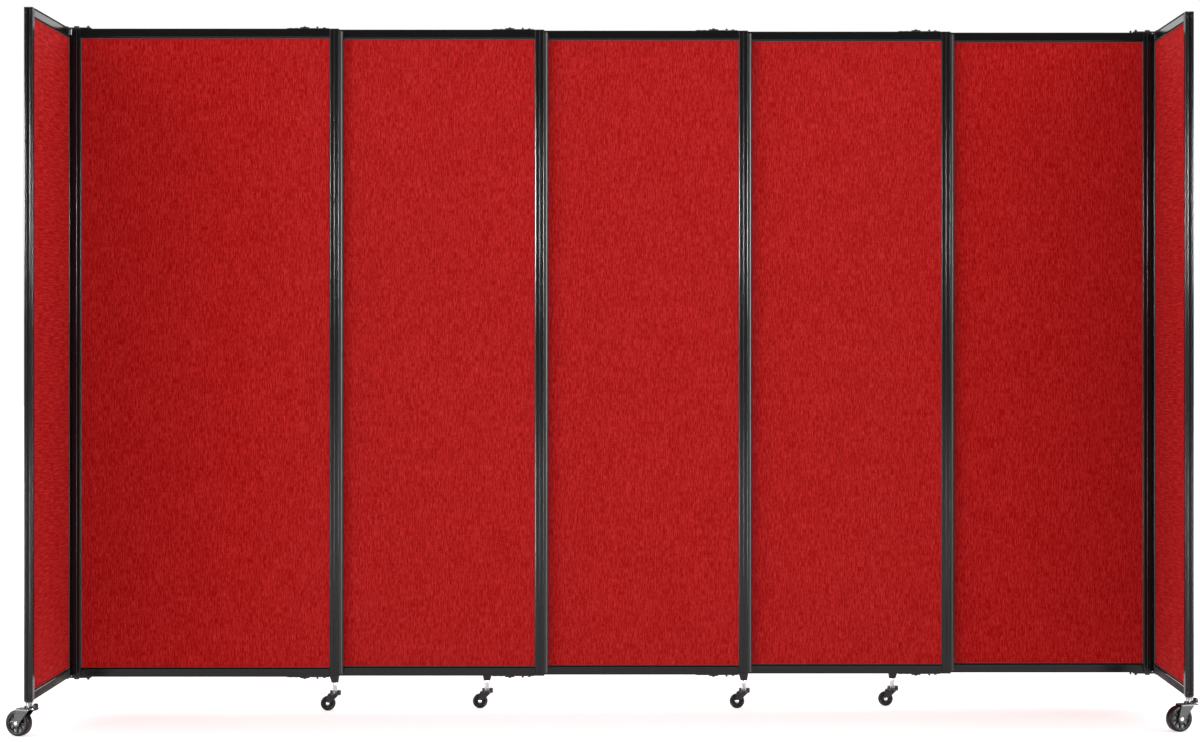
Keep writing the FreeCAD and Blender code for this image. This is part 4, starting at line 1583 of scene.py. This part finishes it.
    def hub(self) -> Skin:
        """The hub: a boss and a rim joined by a web that ribs stiffen on both faces.

        A rib lifts the web by its height where the cosine of the ribs' count times the angle is near 1.

        Returns:
            The closed ring, turned about the axle.
        """
        m = self.model
        half, web = m.wheel_width / 2, m.web_width / 2
        bore, rim = m.axle_radius + 0.15, m.rim_radius - 0.05
        lip = rim - 2.0
        side = [(bore, half - 0.3, 0), (bore + 0.5, half, 0), (m.boss_radius - 0.6, half, 0),
                (m.boss_radius, half - 0.6, 0), (m.boss_radius + 0.5, web + 0.3, 0), (m.boss_radius + 1.2, web, 1),
                ((m.boss_radius + lip) / 2, web, 1), (lip - 1.2, web, 1), (lip - 0.4, web + 0.4, 0),
                (lip, half - 1.6, 0), (lip + 0.5, half - 1.2, 0), (rim, half - 1.2, 0)]
        profile = np.array(side + [(r, -z, mask) for r, z, mask in reversed(side)], float)
        skin = lathe([tuple(row[:2]) for row in profile], looped=True, count=12 * m.ribs)
        angle = np.linspace(0, FULL_TURN, 12 * m.ribs, endpoint=False)
        rib = np.clip((np.cos(m.ribs * angle) - 0.45) / 0.3, 0, 1)
        height = (half - 2.2 - web) * 0.8
        skin.rings[..., 2] += np.sign(profile[:, 1:2]) * profile[:, 2:] * rib[None] * height
        return skin

    def build(self, palette: Palette, carrier: str, stem_node: str) -> None:
        """Makes the fork and the wheel, and the stem where it has a node of its own.

        Args:
            palette: The materials.
            carrier: The body that holds the stem.
            stem_node: The stem's node, or an empty name where another call makes it.
        """
        self.fork().make([palette.fork, palette.zinc], self.name + "_swivel", [self.name + "_fork"],
                         "caster_black")
        wheel = Draft(self.name + "_tyred_wheel")
        wheel.add(self.tyre(), self.axle_place)
        wheel.add(self.hub(), self.axle_place, 1)
        wheel.make([palette.tyre, palette.hub], self.name + "_wheel", [self.name + "_wheel"], "caster_wheel")
        if stem_node:
            stem = Draft(stem_node + "_plated")
            stem.add(self.stem(), self.place)
            stem.make([palette.stem], carrier, [stem_node], "zinc")


@dataclass
class BrakedCaster(Caster):
    """An end panel's caster, with a toe pedal on the side away from its wheel."""

    pin_reach: float = 19.5
    pin_height: float = 80.0
    pin_radius: float = 1.7
    pedal_width: float = 18.0
    pedal_x: tuple[float, float] = (16.5, 26.0)
    pedal_z: tuple[float, float] = (75.0, 95.0)
    pedal_corner: float = 4.4
    pedal_rim: float = 2.6
    grip_radius: float = 0.8
    grip_inset: float = 2.0
    grip_sunk: float = 0.25
    ear_radius: float = 5.0
    ear_root: float = 6.0
    ear: float = 3.0
    gap: float = 0.6

    def fork(self) -> Draft:
        """The fork with two ears and a pin for the pedal.

        Returns:
            The fork's skins, in which the bright metal has finish 1.
        """
        draft = super().fork()
        m, r = self.model, self.ear_radius
        tip = self.pin_reach + r
        plan = Outline.rounded([
            (self.ear_root, m.bridge_bottom, 0.5), (tip, m.bridge_bottom - 3.0, r - 0.3),
            (tip, self.pin_height + r, r - 0.3), (self.ear_root, m.bridge_top, 0.5),
        ])
        near = self.pedal_width / 2 + self.gap
        for side in (-1, 1):
            low, high = sorted((side * near, side * (near + self.ear)))
            draft.add(prism(plan, low, high, 0.5), self.place @ ALONG_Y)
        reach, thick = near + self.ear + 0.4, self.pin_radius
        half_pin = [(POLE, reach), (thick - 0.4, reach - 0.1), (thick, reach - 0.5)]
        pin = lathe(half_pin + [(radius, -height) for radius, height in reversed(half_pin)], count=24)
        draft.add(pin, self.place @ shift(self.pin_reach, 0.0, self.pin_height) @ ALONG_Y, 1)
        return draft

    def pedal(self, palette: Palette) -> None:
        """The pedal: a rounded block with grip ridges over its top and outer face.

        Args:
            palette: The materials.
        """
        (x0, x1), (z0, z1) = self.pedal_x, self.pedal_z
        half, grip = self.pedal_width / 2, self.pedal_width / 2 - self.grip_inset
        block = Outline.box(x0, x1, z0, z1, self.pedal_corner)
        draft = Draft(self.name + "_toe_pedal")
        draft.add(prism(block, -half, half, self.pedal_rim, 4), self.place @ ALONG_Y)
        bar = prism(Outline.circle(self.grip_radius, 12), -grip, grip, 0.5)
        spots = [(x1 - self.grip_sunk, z1 - down) for down in (4.5, 7.5, 10.5)]
        spots += [(x0 + along, z1 - self.grip_sunk) for along in (3.3, 6.0)]
        for x, z in spots:
            draft.add(bar, self.place @ shift(x, 0.0, z) @ ALONG_Y)
        draft.make([palette.pedal], self.name + "_pedal", [self.name + "_pedal"], "caster_black")


# ---------------------------------------------------------------- studio

@dataclass(frozen=True)
class Softbox:
    """A studio lamp that looks at a point. A glint lamp shows only in gloss."""

    name: str
    spot: tuple[float, float, float]
    aim: tuple[float, float, float]
    width: float
    height: float
    power: float
    glint: bool = False

    def build(self) -> None:
        """Hangs the lamp, whose -Z points at the aim."""
        light = bpy.data.lights.new(self.name, "AREA")
        light.shape = "RECTANGLE"
        light.size = self.width
        light.size_y = self.height
        light.energy = self.power
        lamp = bpy.data.objects.new(self.name, light)
        bpy.context.scene.collection.objects.link(lamp)
        back = np.array(self.spot) - np.array(self.aim)
        back = back / np.linalg.norm(back)
        side = np.cross((0.0, 0.0, 1.0), back)
        side = side / np.linalg.norm(side)
        matrix = axes(side, np.cross(back, side), back)
        matrix[:3, 3] = self.spot
        lamp.matrix_world = Matrix(matrix.tolist())
        lamp.visible_camera = False
        lamp.visible_diffuse = not self.glint


@dataclass(frozen=True)
class Studio:
    """The camera, the floor and the light."""

    camera_spot: tuple[float, float, float] = (0.1065, -8.9707, 1.1385)
    lens: float = 87.47
    sensor: float = 36.0
    shift_x: float = -0.0417
    shift_y: float = -0.0275
    view_reach: float = 200.0
    floor_reach: float = 40.0
    floor_paint: tuple[float, float] = (0.90, 0.93)
    floor_glow: tuple[float, float] = (0.27, 0.46)
    ambient: float = 0.66
    flank: float = 2.6
    flank_zone: tuple[float, float] = (0.6, 0.95)
    front_gloss: float = 0.13
    front_zone: tuple[float, float] = (0.55, 0.93)
    ceiling_gloss: float = 0.25
    ceiling_zone: tuple[float, float] = (0.35, 0.85)

    def camera(self) -> None:
        """The camera at the photograph's place, level and square to the wall."""
        data = bpy.data.cameras.new("camera")
        data.lens = self.lens
        data.sensor_width = self.sensor
        data.shift_x = self.shift_x
        data.shift_y = self.shift_y
        data.clip_end = self.view_reach
        camera = bpy.data.objects.new("camera", data)
        bpy.context.scene.collection.objects.link(camera)
        camera.location = self.camera_spot
        camera.rotation_euler = (math.pi / 2, 0.0, 0.0)
        bpy.context.scene.camera = camera

    def floor(self) -> None:
        """A pale floor, which lifts to white for the camera and for reflections but keeps the shadow."""
        reach = self.floor_reach
        mesh = bpy.data.meshes.new("floor")
        mesh.from_pydata([(-reach, -reach, 0), (reach, -reach, 0), (reach, reach, 0), (-reach, reach, 0)], [],
                         [(0, 1, 2, 3)])
        floor = bpy.data.objects.new("floor", mesh)
        bpy.context.scene.collection.objects.link(floor)
        material = bpy.data.materials.new("pale_floor")
        material.use_nodes = True
        nodes = Nodes(material.node_tree)
        material.node_tree.nodes.remove(material.node_tree.nodes["Principled BSDF"])
        mottle = nodes.noise(nodes.new("TexCoord").outputs["Object"], 3.0)
        dark, light = self.floor_paint
        paint = nodes.new("BsdfDiffuse", {"Color": nodes.mix(mottle, grey(dark), grey(light))})
        path = nodes.new("LightPath")
        seen = nodes.math("MAXIMUM", path.outputs["Is Camera Ray"], path.outputs["Is Glossy Ray"])
        strength = nodes.span(seen, 0.0, 1.0, *self.floor_glow)
        glow = nodes.new("Emission", {"Color": grey(1.0), "Strength": strength})
        both = nodes.new("AddShader")
        nodes.join(paint.outputs[0], both.inputs[0])
        nodes.join(glow.outputs[0], both.inputs[1])
        nodes.join(both.outputs[0], material.node_tree.nodes["Material Output"].inputs["Surface"])
        mesh.materials.append(material)

    def sky(self) -> None:
        """A white surround: full white where it is seen or mirrored, weaker as light and stronger from both ends.

        Behind the camera and overhead it is dim in reflections, as a dark room would be.
        """
        world = bpy.data.worlds.new("studio")
        world.use_nodes = True
        bpy.context.scene.world = world
        nodes = Nodes(world.node_tree)
        path = nodes.new("LightPath")
        through = nodes.math("MAXIMUM", path.outputs["Is Camera Ray"], path.outputs["Is Transmission Ray"])
        mirrored = path.outputs["Is Glossy Ray"]
        towards = nodes.new("SeparateXYZ", {"Vector": nodes.new("TexCoord").outputs["Generated"]})
        front = nodes.math("MULTIPLY", towards.outputs[1], -1.0)
        room = nodes.span(front, *self.front_zone, 1.0, self.front_gloss, smooth=True)
        ceiling = nodes.span(towards.outputs[2], *self.ceiling_zone, 1.0, self.ceiling_gloss, smooth=True)
        sideways = nodes.math("ABSOLUTE", towards.outputs[0])
        flank = nodes.span(sideways, *self.flank_zone, self.ambient, self.flank, smooth=True)
        plain = nodes.math("MULTIPLY", nodes.math("SUBTRACT", 1.0, mirrored), flank)
        gloss = nodes.math("MULTIPLY", mirrored, nodes.math("MULTIPLY", room, ceiling))
        strength = nodes.math("MAXIMUM", nodes.math("ADD", plain, gloss), through)
        background = world.node_tree.nodes["Background"]
        background.inputs["Color"].default_value = grey(1.0)
        nodes.join(strength, background.inputs["Strength"])

    def build(self) -> None:
        """Sets the stage."""
        bpy.context.scene.view_settings.view_transform = "Standard"
        self.camera()
        self.floor()
        self.sky()
        middle, upper, lower = (0.0, 0.0, 1.2), (0.0, 0.0, 1.6), (0.0, 0.0, 0.5)
        for name, spot, power in (("left", (-6.0, -6.5, 5.2), 90.0), ("right", (6.2, -6.2, 4.8), 75.0),
                                  ("back", (0.5, 6.5, 5.2), 60.0)):
            Softbox(name + "_softbox", spot, middle, 3.0, 3.0, power).build()
        for name, x, high in (("left", -4.2, 1.76), ("right", 4.4, 1.70)):
            Softbox(name + "_high_glint", (x, -2.9, high), upper, 0.9, 0.6, 300.0, glint=True).build()
            Softbox(name + "_low_glint", (x, -2.9, 0.34), lower, 0.9, 0.6, 80.0, glint=True).build()
        LOG.info("studio: camera, floor, surround and lamps")


# ---------------------------------------------------------------- the wall

def build_panels(palette: Palette) -> None:
    """Builds the five main panels with their guides, and the two end panels with their hinges.

    Args:
        palette: The materials.
    """
    for number in WALL.panels:
        name = "panel_%d" % number
        Panel(name, name, WALL.panel_width, WALL.panel_place(number), BarAxis.LEVEL, number).build(palette)
        SlideGuides(number).build(palette)
    for side, number in ((Side.LEFT, 6), (Side.RIGHT, 7)):
        Panel(side.word + "_end", side.word + "_end_panel", WALL.end_width, WALL.end_place(side), BarAxis.DEEP,
              number).build(palette)
        Hinge(side).build(palette)


def build_casters(palette: Palette) -> None:
    """Builds the small casters under the main panels and the braked ones under the end panels.

    Args:
        palette: The materials.
    """
    near, far = WALL.stem_inset, WALL.panel_width - WALL.stem_inset
    for number, ends in ((1, {"right": far}), (3, {"left": near, "right": far}), (5, {"left": near})):
        carrier = "panel_%d" % number
        stems = Draft(carrier + "_plated_stems")
        for word, x in ends.items():
            caster = Caster("%s_%s_caster" % (carrier, word), SMALL, WALL.panel_place(number) @ shift(x))
            caster.build(palette, carrier, "")
            stems.add(caster.stem(), caster.place)
        stems.make([palette.stem], carrier, [carrier + "_caster_stems"], "zinc")
    for side in Side:
        name = side.word + "_end_caster"
        caster = BrakedCaster(name, LARGE, WALL.end_stem(side) @ turn(side.value * WALL.caster_swing))
        caster.build(palette, side.word + "_end_panel", name + "_stem")
        caster.pedal(palette)


def main() -> None:
    """Builds the studio and every piece."""
    logging.basicConfig(level=logging.INFO, format="%(name)s: %(message)s")
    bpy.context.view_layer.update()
    Studio().build()
    palette = Palette()
    build_panels(palette)
    build_casters(palette)


if __name__ == "__main__":
    main()
